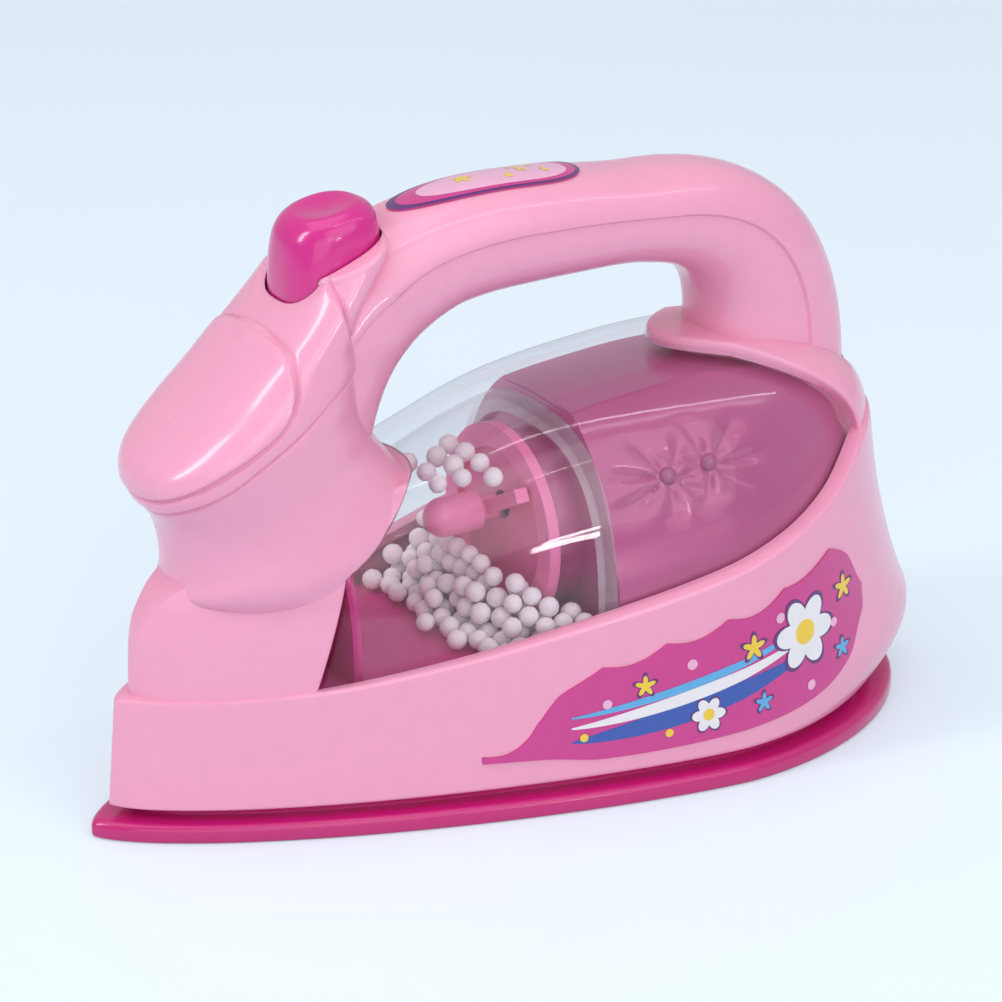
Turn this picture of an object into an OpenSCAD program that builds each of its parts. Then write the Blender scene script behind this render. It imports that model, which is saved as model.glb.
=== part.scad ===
// Toy iron with a bead window: two-half housing, clear cover, stirred beads, push button and battery drive.
// Millimetres. The tip points to -X, +Z is up, and the sole rests on Z = 0.

/* [Body] */
// Overall length from sole tip to heel roll
body_len = 154; // [130:1:180]
// Overall width of the sole plate
body_w = 74; // [64:1:88]
// Height of the handle's top above the sole
body_h = 98; // [86:1:116]
// Wall thickness of the moulded housing
wall = 2; // [1.6:0.1:2.6]

/* [Sole] */
// Thickness of the sole plate
sole_t = 3; // [2.4:0.1:4]
// How far the heel roll stands out behind the sole
heel_setback = 4; // [2:0.5:8]
// Shadow gap between sole and skirt
skirt_gap = 1.8; // [1:0.1:3]
// How far the sole stands proud of the skirt's sides
sole_overhang = 2.6; // [1.5:0.1:4]
// How far the sole stands proud of the skirt's tip
sole_overhang_tip = 3.2; // [2:0.1:6]

/* [Window] */
// Thickness of the clear mouldings
clear_t = 1.4; // [1:0.1:2]
// Ledge between the skirt's rim and the clear cover
rim_ledge = 2.6; // [1.8:0.1:3.6]
// Half width of the cover's flat top
ridge_half = 10.5; // [8:0.5:13]
// Rear face of the front block
block_rear = 44; // [40:0.5:47]
// Distance from origin to the front of the rear leg's collar
collar_front = 27.6; // [24:0.2:31]

/* [Head] */
// Length of the head across its neck
head_len = 42; // [38:1:46]
// Height of the head along its tilted axis
head_h = 38; // [34:1:42]
// Width of the head at its widest
head_w = 31; // [27:1:36]
// Forward tilt of the head and of the button
head_tilt = 22; // [16:1:28]

/* [Handle] */
// Thickness of the grip at its thinnest
grip_t = 17; // [14:0.5:20]
// Width of the grip
grip_w = 22; // [18:0.5:26]
// Depth of the ledge along the grip's sides
grip_ledge = 0.6; // [0.3:0.1:1]

/* [Button] */
// Length of the button
button_len = 16.4; // [14:0.2:20]
// Width of the button
button_w = 16.8; // [14:0.2:19]
// Height of the button above its seat
button_rise = 7.2; // [6:0.2:10]
// Travel of the button
button_travel = 2.4; // [1.5:0.1:3]

/* [Drive] */
// Diameter of the stirrer's hub
hub_d = 6.6; // [5:0.2:8]
// Half length of the stirrer's cross bar
bar_reach = 12.7; // [10:0.2:13.6]
// Diameter of the motor shaft
shaft_d = 2; // [1.5:0.1:2.5]
// Diameter of the motor can
motor_d = 20; // [18:0.5:21]
// Height of the motor can across its flats
motor_flat = 15; // [13:0.5:16]
// Length of the motor can
motor_len = 25; // [20:1:27]
// Diameter of a foam bead
bead_d = 3.7; // [3:0.1:4]

/* [Power] */
// Diameter of a battery cell
cell_d = 14.2; // [14:0.1:14.5]
// Length of a battery cell with its button end
cell_len = 50.2; // [49:0.1:50.5]
// Diameter of an LED
led_d = 3; // [2:0.5:4]

/* [Fits] */
// Gap round pieces that move
run_gap = 0.35; // [0.25:0.05:0.5]
// Gap round pieces that are fixed in a seat
seat_gap = 0.15; // [0.1:0.05:0.3]
// Radial gap of the shaft in its bearing
bearing_gap = 0.05; // [0.02:0.01:0.1]

/* [Hidden] */
$fn = 48;

// Colours as the photo shows them
pink = [0.957, 0.651, 0.800];
magenta = [0.851, 0.200, 0.569];
pearl = [0.753, 0.376, 0.604];
clear = [0.930, 0.930, 0.960, 0.35];
bead_white = [0.960, 0.930, 0.950];
metal = [0.750, 0.750, 0.760];
board_green = [0.180, 0.450, 0.300];
dark_plastic = [0.200, 0.200, 0.220];

// Counts of steps round and along the curved forms
plan_steps = 56;
dome_stations = 18;
side_steps = 5;
head_steps = 24;
grip_ledges = 20;
path_steps = 7;
window_steps = 8;
chamber_steps = 8;
hidden_stations = 12;
liner_stations = 16;
hidden_steps = 12;
hidden_path_steps = 4;
coil_rings = 8;
coil_sides = 6;

// Shared small sizes
overrun = 1;
thin = 0.05;
half_len = body_len / 2;
big = body_len + body_h;

// Powers of the plan outline: flank, tip and heel
flank_power = 1.4;
tip_round = 0.70;
block_round = 0.62;
block_slope = 0.32;
heel_power = 1.9;
arch_power = 2.7;
head_power = 2.3;
button_power = 2.7;
widest_share = 0.325;
tip_inset_share = 1.6;
ridge_most_share = 0.62;
crown_share = 0.02;
arch_lean = 66;
grip_split_share = 0.2;
turn_share = 0.02;
grip_root_share = 0.6;
grip_root_stop = 0.8;

// Curves drawn by hand, as shares of half length and of height
rim_shares = [[-0.96, 0.236], [-0.60, 0.244], [-0.29, 0.275], [-0.03, 0.312], [0.30, 0.362], [0.49, 0.403],
    [0.61, 0.445], [0.71, 0.500], [0.80, 0.523], [0.98, 0.530]];
ridge_shares = [[-0.91, 0.215], [-0.895, 0.330], [-0.86, 0.385], [-0.80, 0.425], [-0.60, 0.495],
    [-0.31, 0.550], [-0.03, 0.626], [0.24, 0.658], [0.48, 0.663], [0.68, 0.632], [0.81, 0.572],
    [0.90, 0.505]];
heel_roll_shares = [[0, 0.893], [0.06, 0.950], [0.14, 0.992], [0.22, 1], [0.32, 0.975], [0.46, 0.942],
    [0.72, 0.898], [1, 0.871]];
head_shares = [[-0.19, -0.65, 1.03, 0.97], [-0.09, -0.84, 1.09, 1.01], [0, -0.960, 1.080, 0.96],
    [0.08, -0.890, 1.040, 0.92], [0.16, -0.840, 1.000, 0.90], [0.24, -0.810, 0.970, 0.91],
    [0.32, -0.800, 0.970, 0.94], [0.42, -0.840, 1.000, 0.97], [0.50, -0.845, 1.040, 1.00],
    [0.575, -0.770, 1.080, 1.00], [0.635, -0.540, 1.130, 0.985], [0.71, -0.150, 1.160, 0.94],
    [0.79, 0.220, 1.250, 0.90], [0.885, 0.630, 1.440, 0.85], [0.96, 0.860, 1.640, 0.80],
    [1, 0.930, 1.700, 0.77]];
visor_shares = [[0.47, 0.92], [0.50, 0.85], [0.42, 0.76], [0.32, 0.675], [0.15, 0.610], [-0.11, 0.576],
    [-0.41, 0.548], [-0.69, 0.515], [-1.10, 0.465]];
brow_shares = [[0.98, 0.92], [0.95, 0.80], [0.95, 0.65], [0.87, 0.59], [0.65, 0.592], [0.41, 0.564],
    [0.15, 0.533], [-0.11, 0.508], [-0.39, 0.471], [-0.67, 0.445], [-1.10, 0.40]];
grip_path_shares = [[-0.545, 0.650], [-0.46, 0.815], [-0.31, 0.908], [-0.02, 0.908],
    [0.13, 0.908], [0.22, 0.905], [0.325, 0.896],
    [0.53, 0.885], [0.655, 0.800], [0.632, 0.590],
    [0.632, 0.550], [0.632, 0.510], [0.632, 0.470]];
grip_thick_shares = [1.24, 1.14, 1.04, 1.00, 1.48, 2.05, 2.20];
grip_wide_shares = [1.00, 1.00, 1.00, 1.00, 1.00, 1.02, 1.20];

// Skirt and dome places
widest_x = widest_share * half_len;
sole_heel = half_len - heel_setback;
skirt_z = sole_t + skirt_gap;
skirt_tip = -half_len + sole_overhang_tip;
skirt_w = body_w / 2 - sole_overhang;
skirt_draft = 1.6;
dome_tip = skirt_tip + skirt_draft + rim_ledge;
dome_heel = half_len * heel_roll_shares[len(heel_roll_shares) - 1][1] - rim_ledge / 2;
dome_w = skirt_w - skirt_draft - rim_ledge;
dome_sink = 4;
lip_t = 1.8;
lip_lap = 1.2;
collar_rise = 1.1;
visor_rise = 0.45;
collar_half = 18;
collar_reach = 24.5;
collar_power = 1.9;
neck_root_shares = [-0.565, 0.4745];
neck_root = [neck_root_shares[0] * half_len, neck_root_shares[1] * body_h];

// Button frame: its seat lies on the top of the head
seat_share = 1.24;
seat_p = seat_share * head_len / 2;
button_shares = [[0.70, 0.06, 0.6], [0.90, 0.18, 0.5], [1, 0.36, 0.5], [0.94, 0.77, 0.5]];
wing_reach = 0.8;
wing_half = 3;
wing_t = 1;
button_skirt = 4;
wing_drop = 2.6;
flange_t = 1.4;
stem_d = 5;
stem_drop = 6;
spring_seat_d = 8.4;
spring_seat_drop = 2.2;
switch_side = 9;
switch_h = 6;
plunger_d = 3;
plunger_len = 4.4;
spring_wire = 0.6;
spring_turns = 4;
contact_turns = 3;
shelf_t = 2;
shelf_half_w = 13;

// Bead chamber, liner and drive places
floor_drop = 3.1;
foot_least = 1;
liner_t = 1.6;
cover_gap = 0.9;
chamber_setback = 7;
chamber_rear = 5.3;
led_at = 35.3;
led_sink_share = 0.5;
led_pitch = -6;
chamber_drop_share = 0.95;
flange_w = 2;
liner_inset = 3.2;
liner_setback = 6.3;
disc_x = 0;
disc_r = 17;
disc_top_gap = 0.5;
bar_tip_gap = 0.5;
disc_t = 2;
disc_dish = 1;
disc_rim = 4;
hub_front = -15.7;
hub_len = 9.4;
bar_t = 2.4;
bar_w = 2.4;
bar_angle = 28;
collar_d = 4;
motor_screw_y = 6;
foot_x = -5;
foot_y = 8;
cradle_wall = 2;
cradle_len = 14;
cradle_setback = 1;
floor_setback = 1;
shaft_end_gap = 1;
screw_end_gap = 1;
bay_x = 18;
bay_wall = 1.6;
spring_room = 6;
plate_room = 1.2;
cell_gap = 0.6;
door_t = 1.8;
door_recess = 0.3;
door_lip = 1.6;
door_corner = 3;
nub_d = 5;
nub_len = 1.2;
motor_x = chamber_rear + 2 * seat_gap + liner_t;
bay_len = cell_len + spring_room + plate_room;
bay_half_w = cell_d + cell_gap * 1.5;
bay_floor = door_recess + door_t;
cell_z = bay_floor + cell_gap + cell_d / 2;
bay_top = cell_z + cell_d / 2 + cell_gap + bay_wall;
contact_t = 0.5;
contact_share = 0.8;
coil_wide_share = 0.32;
coil_narrow_share = 0.18;
board_t = 1.6;
board_len = 18;
board_half_w = 11;
board_x = 36;
led_place_shares = [0.327, 0.227];
led_lean = 40;
led_len = 5;
led_flange = 0.8;
heap_setback = 25.8;
heap_slope = 1.6;
heap_skew_share = 0.4;
heap_straight = 13;

// Fasteners
screw_d = 2.6;
screw_head_d = 5;
screw_head_t = 1.8;
boss_d = 6.4;
pilot_gap = 0.05;
sole_screw_len = 9;
housing_screw_len = 11;
small_screw_d = 1.6;
small_head_d = 3;
small_head_t = 1.2;
motor_screw_len = 4;
boss_shares = [[-0.545, 0.673], [0.026, 0.903], [0.649, 0.694], [-0.727, 0.306], [0.831, 0.286]];
boss_places = [for (b = boss_shares) [b[0] * half_len, b[1] * body_h]];
sole_boss_shares = [-0.597, 0.727];
sole_boss_h = 12;
sole_boss_lap = 1.2;

// Labels
film_t = 0.2;
film_lift = 0.15;
lobe_depth = 1.4;
label_span_shares = [-0.26, 0.69];
label_low_shares = [[-0.27, 0.098], [-0.12, 0.092], [0.0, 0.080], [0.3, 0.085], [0.52, 0.105], [0.63, 0.150],
    [0.69, 0.225], [0.8, 0.24]];
label_high_shares = [[-0.27, 0.115], [-0.16, 0.140], [-0.09, 0.215], [0.0, 0.240], [0.2, 0.275], [0.4, 0.310],
    [0.54, 0.350], [0.63, 0.345], [0.69, 0.270], [0.8, 0.26]];
label_lobes = 7;
label_rows = 2;
grip_label_from = 0.70;
grip_label_to = 1.46;
grip_label_spread = 25;

// Value at x of a smooth curve through hand-drawn [x, value] pairs
function slope(p, i) =
    let (a = max(i - 1, 0), b = min(i + 1, len(p) - 1))
    (p[b][1] - p[a][1]) / (p[b][0] - p[a][0]);
function piece(p, x) = max([0, for (i = [0:len(p) - 2]) if (x >= p[i][0]) i]);
function curve(p, x) =
    let (i = piece(p, x), w = p[i + 1][0] - p[i][0], t = min(max((x - p[i][0]) / w, 0), 1))
    let (s = t * t * (3 - 2 * t), u = t * (1 - t) * (1 - t), v = t * t * (t - 1))
    p[i][1] * (1 - s) + p[i + 1][1] * s + w * (u * slope(p, i) + v * slope(p, i + 1));

// Plan outline: half width at x, and the point at an angle round it
function half_width(x, tip, heel, w, round) =
    x < widest_x
    ? w * pow(max(1 - pow(min((widest_x - x) / (widest_x - tip), 1), flank_power), 0), round)
    : w * pow(max(1 - pow(min((x - widest_x) / (heel - widest_x), 1), heel_power), 0), 1 / heel_power);
function plan_x(a, tip, heel) =
    cos(a) >= 0
    ? widest_x + (heel - widest_x) * pow(cos(a), 2 / heel_power)
    : widest_x + (widest_x - tip) * cos(a);
function plan_point(a, tip, heel, w, round) =
    let (x = plan_x(a, tip, heel))
    [x, sign(sin(a)) * half_width(x, tip, heel, w, round)];
function plan_angles() = [for (i = [0:plan_steps - 1]) 360 * i / plan_steps];
function plan_outline(inset) =
    [for (a = plan_angles())
        plan_point(a, -half_len + inset * tip_inset_share, sole_heel - inset, body_w / 2 - inset, tip_round)];
function sole_rim_outline(inset) =
    let (in = sole_overhang + wall + run_gap + inset,
         heel = half_len * heel_roll_shares[0][1] - wall - run_gap - inset)
    [for (a = plan_angles())
        plan_point(a, -half_len + in * tip_inset_share, heel, body_w / 2 - in, tip_round)];
function sole_boss_y(x) =
    half_width(x, skirt_tip, half_len * heel_roll_shares[0][1], skirt_w, tip_round)
    - wall - boss_d / 2 + sole_boss_lap;
function rim_z(x) = body_h * curve(rim_shares, x / half_len);
function ridge_z(x) = body_h * curve(ridge_shares, x / half_len);

// Closed solid through rings of points, capped at both ends, or joined last to first
function middle(ring) =
    [for (k = [0:2]) let (s = [for (p = ring) p[k]]) s * [for (p = ring) 1] / len(ring)];
function band_faces(n, from, to) =
    [for (i = [0:n - 1]) let (j = (i + 1) % n)
        each [[from + i, to + i, from + j], [from + j, to + i, to + j]]];
module skin(rings) {
    n = len(rings[0]);
    m = len(rings);
    points = [for (r = rings) each r];
    bands = [for (k = [0:m - 2]) each band_faces(n, k * n, (k + 1) * n)];
    first = [for (i = [0:n - 1]) [m * n, i, (i + 1) % n]];
    last = [for (i = [0:n - 1]) [m * n + 1, (m - 1) * n + (i + 1) % n, (m - 1) * n + i]];
    polyhedron(concat(points, [middle(rings[0]), middle(rings[m - 1])]), concat(bands, first, last));
}
module skin_loop(rings) {
    n = len(rings[0]);
    m = len(rings);
    polyhedron([for (r = rings) each r], [for (k = [0:m - 1]) each band_faces(n, k * n, ((k + 1) % m) * n)]);
}

// Skirt: outer face rows from its foot to its rim, then the lip and the inner face
function skirt_point(a, v, inset) =
    let (tip = skirt_tip + skirt_draft * v + inset * tip_inset_share,
         heel = half_len * curve(heel_roll_shares, v) - inset,
         w = skirt_w - skirt_draft * v - inset,
         p = plan_point(a, tip, heel, w, tip_round))
    [p[0], p[1], skirt_z + v * (rim_z(p[0]) - skirt_z)];
function lip_point(a, down) =
    let (p = plan_point(a, dome_tip + lip_lap, dome_heel - lip_lap, dome_w - lip_lap, block_round))
    [p[0], p[1], rim_z(p[0]) - down];
function lowered(p, down) = [p[0], p[1], p[2] - down];
module skirt() {
    rows = [for (h = heel_roll_shares) h[0]];
    skin_loop(concat(
        [for (v = rows) [for (a = plan_angles()) skirt_point(a, v, 0)]],
        [[for (a = plan_angles()) lip_point(a, 0)], [for (a = plan_angles()) lip_point(a, lip_t)]],
        [for (k = [len(rows) - 1:-1:0])
            [for (a = plan_angles())
                lowered(skirt_point(a, rows[k], wall), k == len(rows) - 1 ? lip_t : 0)]]));
}

// Dome over the skirt: one arch across, at stations from the front block to the heel
function dome_stops(inset, stations) =
    let (from = dome_tip + inset * tip_inset_share, to = dome_heel - inset)
    [for (i = [0:stations])
        let (c = (1 - cos(180 * i / stations)) / 2)
        from + thin + (to - from - 2 * thin) * c];
function dome_half(x, inset) =
    max(half_width(x, dome_tip + inset * tip_inset_share, dome_heel - inset, dome_w - inset, block_round),
        thin);
function arch_point(x, inset, f) =
    let (foot = rim_z(x) - dome_sink / 2, top = max(ridge_z(x) - inset, foot),
         yb = dome_half(x, inset), yr = min(ridge_half, yb * ridge_most_share))
    [x, yr + (yb - yr) * (cos(f) - cos(arch_lean)) / (1 - cos(arch_lean)),
        foot + (top - foot) * sin(f) / sin(arch_lean)];
function other_side(p) = [p[0], -p[1], p[2]];
function dome_ring(x, inset, drop) =
    let (base = rim_z(x) - dome_sink - drop, foot = rim_z(x) - dome_sink / 2,
         top = max(ridge_z(x) - inset, foot), yb = dome_half(x, inset),
         side = [for (i = [0:side_steps]) arch_point(x, inset, arch_lean * i / side_steps)])
    concat([[x, yb, base]], side, [[x, 0, top + (top - foot) * crown_share]],
        [for (i = [side_steps:-1:0]) other_side(side[i])], [[x, -yb, base]]);
module dome(inset, drop, stations = dome_stations) {
    skin([for (x = dome_stops(inset, stations)) dome_ring(x, inset, drop)]);
}

// Plan of the window between the front block and the collar of the rear leg
function collar_x(y) = collar_front + collar_reach * pow(abs(y) / collar_half, collar_power);
module window_prism(gap) {
    y_end = body_w / 2;
    ys = [for (i = [-window_steps:window_steps]) y_end * i / window_steps];
    difference() {
        translate([0, 0, -overrun])
            linear_extrude(big)
                polygon(concat([[-half_len, -y_end], [-half_len, y_end]],
                    [for (i = [2 * window_steps:-1:0]) [collar_x(ys[i]) - gap, ys[i]]]));
        block_space(gap);
    }
}
module block_space(gap) {
    rotate([90, 0, 0]) linear_extrude(2 * body_w, center = true)
        polygon([[-body_len, -body_h], [block_x(-body_h) + gap, -body_h],
            [block_x(big) + gap, big], [-body_len, big]]);
}
function block_x(z) = -block_rear + (z - rim_z(-block_rear)) * block_slope;
module window_cut() {
    intersection() {
        dome(-run_gap, overrun + dome_sink);
        window_prism(-seat_gap);
    }
}

// Head: rounded sections stacked along its tilted axis
function head_place(p, y, q) =
    [neck_root[0] + p * cos(head_tilt) - q * sin(head_tilt), y,
        neck_root[1] + p * sin(head_tilt) + q * cos(head_tilt)];
function super(c, power) = sign(c) * pow(abs(c), 2 / power);
function head_ring(s, inset, steps) =
    let (front = s[1] * head_len / 2 + inset, back = s[2] * head_len / 2 - inset,
         half = s[3] * head_w / 2 - inset)
    [for (i = [0:steps - 1]) let (a = 360 * i / steps)
        head_place((front + back) / 2 + (back - front) / 2 * super(cos(a), head_power),
            half * super(sin(a), head_power), s[0] * head_h - inset)];
module head(inset, steps = head_steps) {
    skin([for (s = head_shares) head_ring(s, inset, steps)]);
}

// Grip: sections along a path of cubic curves, from inside the head to inside the rear deck
function bezier(p, t) =
    p[0] * pow(1 - t, 3) + p[1] * 3 * t * pow(1 - t, 2) + p[2] * 3 * t * t * (1 - t) + p[3] * pow(t, 3);
function path_point(s) =
    let (k = min(floor(s), 3), p = [for (i = [0:3]) grip_path_shares[3 * k + i]], b = bezier(p, s - k))
    [b[0] * half_len, b[1] * body_h];
function path_turn(s) =
    let (d = path_point(min(s + turn_share, 4)) - path_point(max(s - turn_share, 0)))
    atan2(d[1], d[0]);
function along(table, s) = curve([for (i = [0:len(table) - 1]) [i * 4 / (len(table) - 1), table[i]]], s);
function grip_root(s, a) = sin(a) < 0 ? 1 + grip_root_share * max(1 - s / grip_root_stop, 0) : 1;
function grip_point(s, a, grow) =
    let (c = path_point(s), f = path_turn(s), step = sin(a) > grip_split_share ? 0 : grip_ledge,
         r = grip_t / 2 * along(grip_thick_shares, s) + grow - step,
         y = (grip_w / 2 * along(grip_wide_shares, s) + grow - step) * super(cos(a), head_power),
         d = r * grip_root(s, a) * super(sin(a), head_power))
    [c[0] - d * sin(f), y, c[1] + d * cos(f)];
function grip_ring(s, grow, steps) = [for (i = [0:steps - 1]) grip_point(s, 360 * (i + 0.5) / steps, grow)];
module grip(grow, stops = path_steps, steps = grip_ledges) {
    skin([for (i = [0:4 * stops]) grip_ring(i / stops, grow, steps)]);
}

// Button frame, with its own up direction
module at_seat() {
    p = head_place(seat_p, 0, head_h);
    translate(p) children();
}
function button_ring(u, grow, slope) =
    [for (i = [0:head_steps - 1])
        let (a = 360 * i / head_steps, x = (button_len / 2 + grow) * super(cos(a), button_power))
        [x, (button_w / 2 + grow) * super(sin(a), button_power), u + x * slope]];
function wing_ring(u, grow) =
    [for (c = [[-1, -1], [1, -1], [1, 1], [-1, 1]]) let (x = c[0] * (wing_half + grow))
        [x, c[1] * (button_w / 2 + wing_reach + grow), u + x * seat_slope]];
seat_slope = tan(head_tilt);
sole_boss_places = [for (k = sole_boss_shares) [k * half_len, sole_boss_y(k * half_len)]];

// Screw bosses between the halves, and for the sole
module housing_bosses() {
    for (b = boss_places)
        translate([b[0], 0, b[1]]) rotate([90, 0, 0])
            cylinder(d = boss_d, h = body_w, center = true, $fn = 16);
    for (b = sole_boss_places, side = [-1, 1])
        translate([b[0], side * b[1], sole_t + seat_gap]) cylinder(d = boss_d, h = sole_boss_h, $fn = 16);
}
module switch_shelf() {
    at_seat()
        translate([-switch_side / 2, -shelf_half_w, switch_top - switch_h - shelf_t - seat_gap])
            cube([switch_side, 2 * shelf_half_w, shelf_t]);
}

// Visor: two stepped panels raised from the front of the head
module visor(rise, table) {
    edge = [for (p = table) head_place(p[0] * head_len / 2, 0, p[1] * head_h)];
    intersection() {
        head(-rise);
        rotate([90, 0, 0]) linear_extrude(body_w, center = true)
            polygon(concat([for (p = edge) [p[0], p[2]]],
                [[-body_len, edge[len(edge) - 1][2]], [-body_len, big]]));
    }
}

// The whole moulding before it is split, as one closed form at its true length
module outer_form() {
    intersection() {
        dome(0, 0);
        block_space(0);
    }
    difference() {
        dome(-collar_rise, 0);
        translate([-half_len, 0, 0]) window_prism(-half_len);
    }
    head(0);
    visor(visor_rise, brow_shares);
    visor(2 * visor_rise, visor_shares);
    grip(0);
}
module hollow() {
    dome(wall, overrun, hidden_stations);
    difference() {
        union() {
            head(wall, hidden_steps);
            grip(-wall, hidden_path_steps, hidden_steps);
        }
        switch_shelf();
    }
}
module boss_room() {
    dome(wall / 2, dome_sink, hidden_stations);
    head(wall / 2, hidden_steps);
    grip(-wall / 2, hidden_path_steps, hidden_steps);
    linear_extrude(sole_t + seat_gap + sole_boss_h) polygon(plan_outline(sole_overhang + wall / 2));
    b = boss_places[len(boss_places) - 1];
    half = skirt_side(b[0] + boss_d / 2, b[1]) - wall / 2;
    translate([b[0] - boss_d, -half, b[1] - boss_d]) cube([2 * boss_d, 2 * half, 2 * boss_d]);
}
module moulding() {
    difference() {
        union() {
            skirt();
            difference() {
                outer_form();
                hollow();
            }
            intersection() {
                housing_bosses();
                boss_room();
            }
        }
        window_cut();
        at_seat() {
            skin([for (u = [-button_skirt - stem_drop, button_len]) button_ring(u, run_gap, 0)]);
            skin([wing_ring(-wing_drop - wing_t - button_travel - run_gap, run_gap),
                wing_ring(run_gap - wing_drop, run_gap)]);
        }
    }
}
module half_moulding(side) {
    resize([half_len - skirt_tip, 0, 0])
        intersection() {
            moulding();
            translate([-big / 2, side > 0 ? 0 : -big, -overrun]) cube([big, big, big]);
        }
}
module sole_pilots(side) {
    for (b = sole_boss_places)
        translate([b[0], side * b[1], sole_t - overrun])
            cylinder(d = screw_d + 2 * pilot_gap, h = sole_boss_h);
}

module housing_left() {
    color(pink) difference() {
        half_moulding(-1);
        sole_pilots(-1);
        for (b = boss_places)
            translate([b[0], overrun, b[1]]) rotate([90, 0, 0])
                cylinder(d = screw_d + 2 * pilot_gap, h = housing_screw_len - screw_head_d / 2 + overrun);
    }
}
module housing_right() {
    color(pink) difference() {
        half_moulding(1);
        sole_pilots(1);
        for (b = boss_places) {
            translate([b[0], -overrun, b[1]]) rotate([-90, 0, 0])
                cylinder(d = screw_d + 2 * seat_gap, h = body_w);
            translate([b[0], screw_head_d / 2, b[1]]) rotate([-90, 0, 0])
                cylinder(d = screw_head_d + 2 * seat_gap, h = body_w);
        }
    }
}

// Battery bay pieces
module bay_box(grow, h) {
    translate([bay_x - bay_len / 2 - grow, -bay_half_w - grow, 0])
        cube([bay_len + 2 * grow, 2 * (bay_half_w + grow), h]);
}
module rounded_plate(len, half_w, h) {
    linear_extrude(h)
        union() {
            square([len, 2 * (half_w - door_corner)], center = true);
            square([len - 2 * door_corner, 2 * half_w], center = true);
            for (i = [-1, 1], j = [-1, 1])
                translate([i * (len / 2 - door_corner), j * (half_w - door_corner)]) circle(r = door_corner);
        }
}
door_tab = screw_head_d + 2 * door_lip;
door_len = bay_len + 2 * door_lip + door_tab;
door_mid = bay_x + door_tab / 2;
door_screw_x = bay_x + bay_len / 2 + door_lip + door_tab / 2;
module sole_plate() {
    color(magenta) difference() {
        union() {
            linear_extrude(sole_t) polygon(plan_outline(0));
            bay_box(bay_wall, bay_top);
            translate([0, 0, sole_t - overrun]) linear_extrude(skirt_gap + overrun + sole_t)
                difference() {
                    polygon(sole_rim_outline(0));
                    polygon(sole_rim_outline(bay_wall));
                }
            translate([door_screw_x, 0, 0]) cylinder(d = boss_d + door_lip, h = bay_top);
        }
        translate([0, 0, -overrun]) bay_box(0, bay_top - bay_wall + overrun);
        translate([door_mid, 0, -overrun])
            rounded_plate(door_len + 2 * run_gap, bay_half_w + door_lip + run_gap, bay_floor + overrun);
        translate([door_screw_x, 0, 0]) cylinder(d = screw_d + 2 * pilot_gap, h = bay_top - bay_wall);
        for (b = sole_boss_places, side = [-1, 1])
            translate([b[0], side * b[1], 0]) {
                translate([0, 0, -overrun]) cylinder(d = screw_d + 2 * seat_gap, h = big);
                translate([0, 0, -overrun])
                    cylinder(d = screw_head_d + 2 * seat_gap, h = screw_head_t + overrun);
                translate([0, 0, sole_t]) cylinder(d = boss_d + 2 * run_gap, h = big);
            }
    }
}
module battery_door() {
    color(magenta) difference() {
        translate([door_mid, 0, door_recess])
            rounded_plate(door_len, bay_half_w + door_lip, door_t - seat_gap);
        translate([door_screw_x, 0, -overrun]) cylinder(d = screw_d + 2 * seat_gap, h = sole_t + overrun);
        translate([door_screw_x, 0, -overrun])
            cylinder(d = screw_head_d + 2 * seat_gap, h = door_recess + overrun + door_t / 2);
    }
}
module pan_screw(d, len, head_d, head_t) {
    cylinder(d = head_d, h = head_t);
    translate([0, 0, head_t - thin]) cylinder(d = d, h = len + thin);
}
module battery_door_screw() {
    color(metal) translate([door_screw_x, 0, door_recess])
        pan_screw(screw_d, sole_screw_len, screw_head_d, door_t / 2 - seat_gap);
}
module sole_screws() {
    color(metal) for (b = sole_boss_places, side = [-1, 1])
        translate([b[0], side * b[1], door_recess])
            pan_screw(screw_d, sole_screw_len, screw_head_d, screw_head_t - door_recess - seat_gap);
}
module housing_screws() {
    color(metal) for (b = boss_places)
        translate([b[0], screw_head_d / 2 + seat_gap + screw_head_t, b[1]]) rotate([90, 0, 0])
            pan_screw(screw_d, housing_screw_len - screw_head_t, screw_head_d, screw_head_t);
}
cell_y = cell_d / 2 + cell_gap / 2;
module battery_cells() {
    color(dark_plastic) for (side = [-1, 1])
        translate([bay_x + side * (bay_len / 2 - plate_room), side * cell_y, cell_z])
            rotate([0, -side * 90, 0]) {
            cylinder(d = nub_d, h = nub_len + thin);
            translate([0, 0, nub_len]) cylinder(d = cell_d, h = cell_len - nub_len);
        }
}
module contact_plates() {
    color(metal) for (side = [-1, 1])
        translate([bay_x + side * (bay_len / 2 - plate_room / 2), side * cell_y, cell_z])
            cube([contact_t, cell_d * contact_share, cell_d * contact_share], center = true);
}

// Coil from z = 0 to h as one unbroken tube: radius r0 at the foot and r1 at the head
function coil_point(t, turns, h, r0, r1) =
    let (a = 360 * turns * t, r = r0 + (r1 - r0) * t)
    [r * cos(a), r * sin(a), h * t];
function coil_ring(t, turns, h, r0, r1, wire) =
    let (a = 360 * turns * t, c = coil_point(t, turns, h, r0, r1))
    [for (i = [0:coil_sides - 1]) let (b = 360 * i / coil_sides)
        c + wire / 2 * [cos(a) * cos(b), sin(a) * cos(b), sin(b)]];
module coil(turns, h, r0, r1, wire) {
    n = turns * coil_rings;
    lift = [for (i = [1:coil_sides]) [0, 0, wire / 2]];
    skin([for (k = [n:-1:0]) coil_ring(k / n, turns, h - wire, r0, r1, wire) + lift]);
}
module contact_springs() {
    color(metal) for (side = [-1, 1])
        translate([bay_x - side * (bay_len / 2 - seat_gap), side * cell_y, cell_z]) rotate([0, side * 90, 0])
            coil(contact_turns, spring_room - 2 * seat_gap, cell_d * coil_wide_share,
                cell_d * coil_narrow_share, spring_wire);
}

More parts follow.
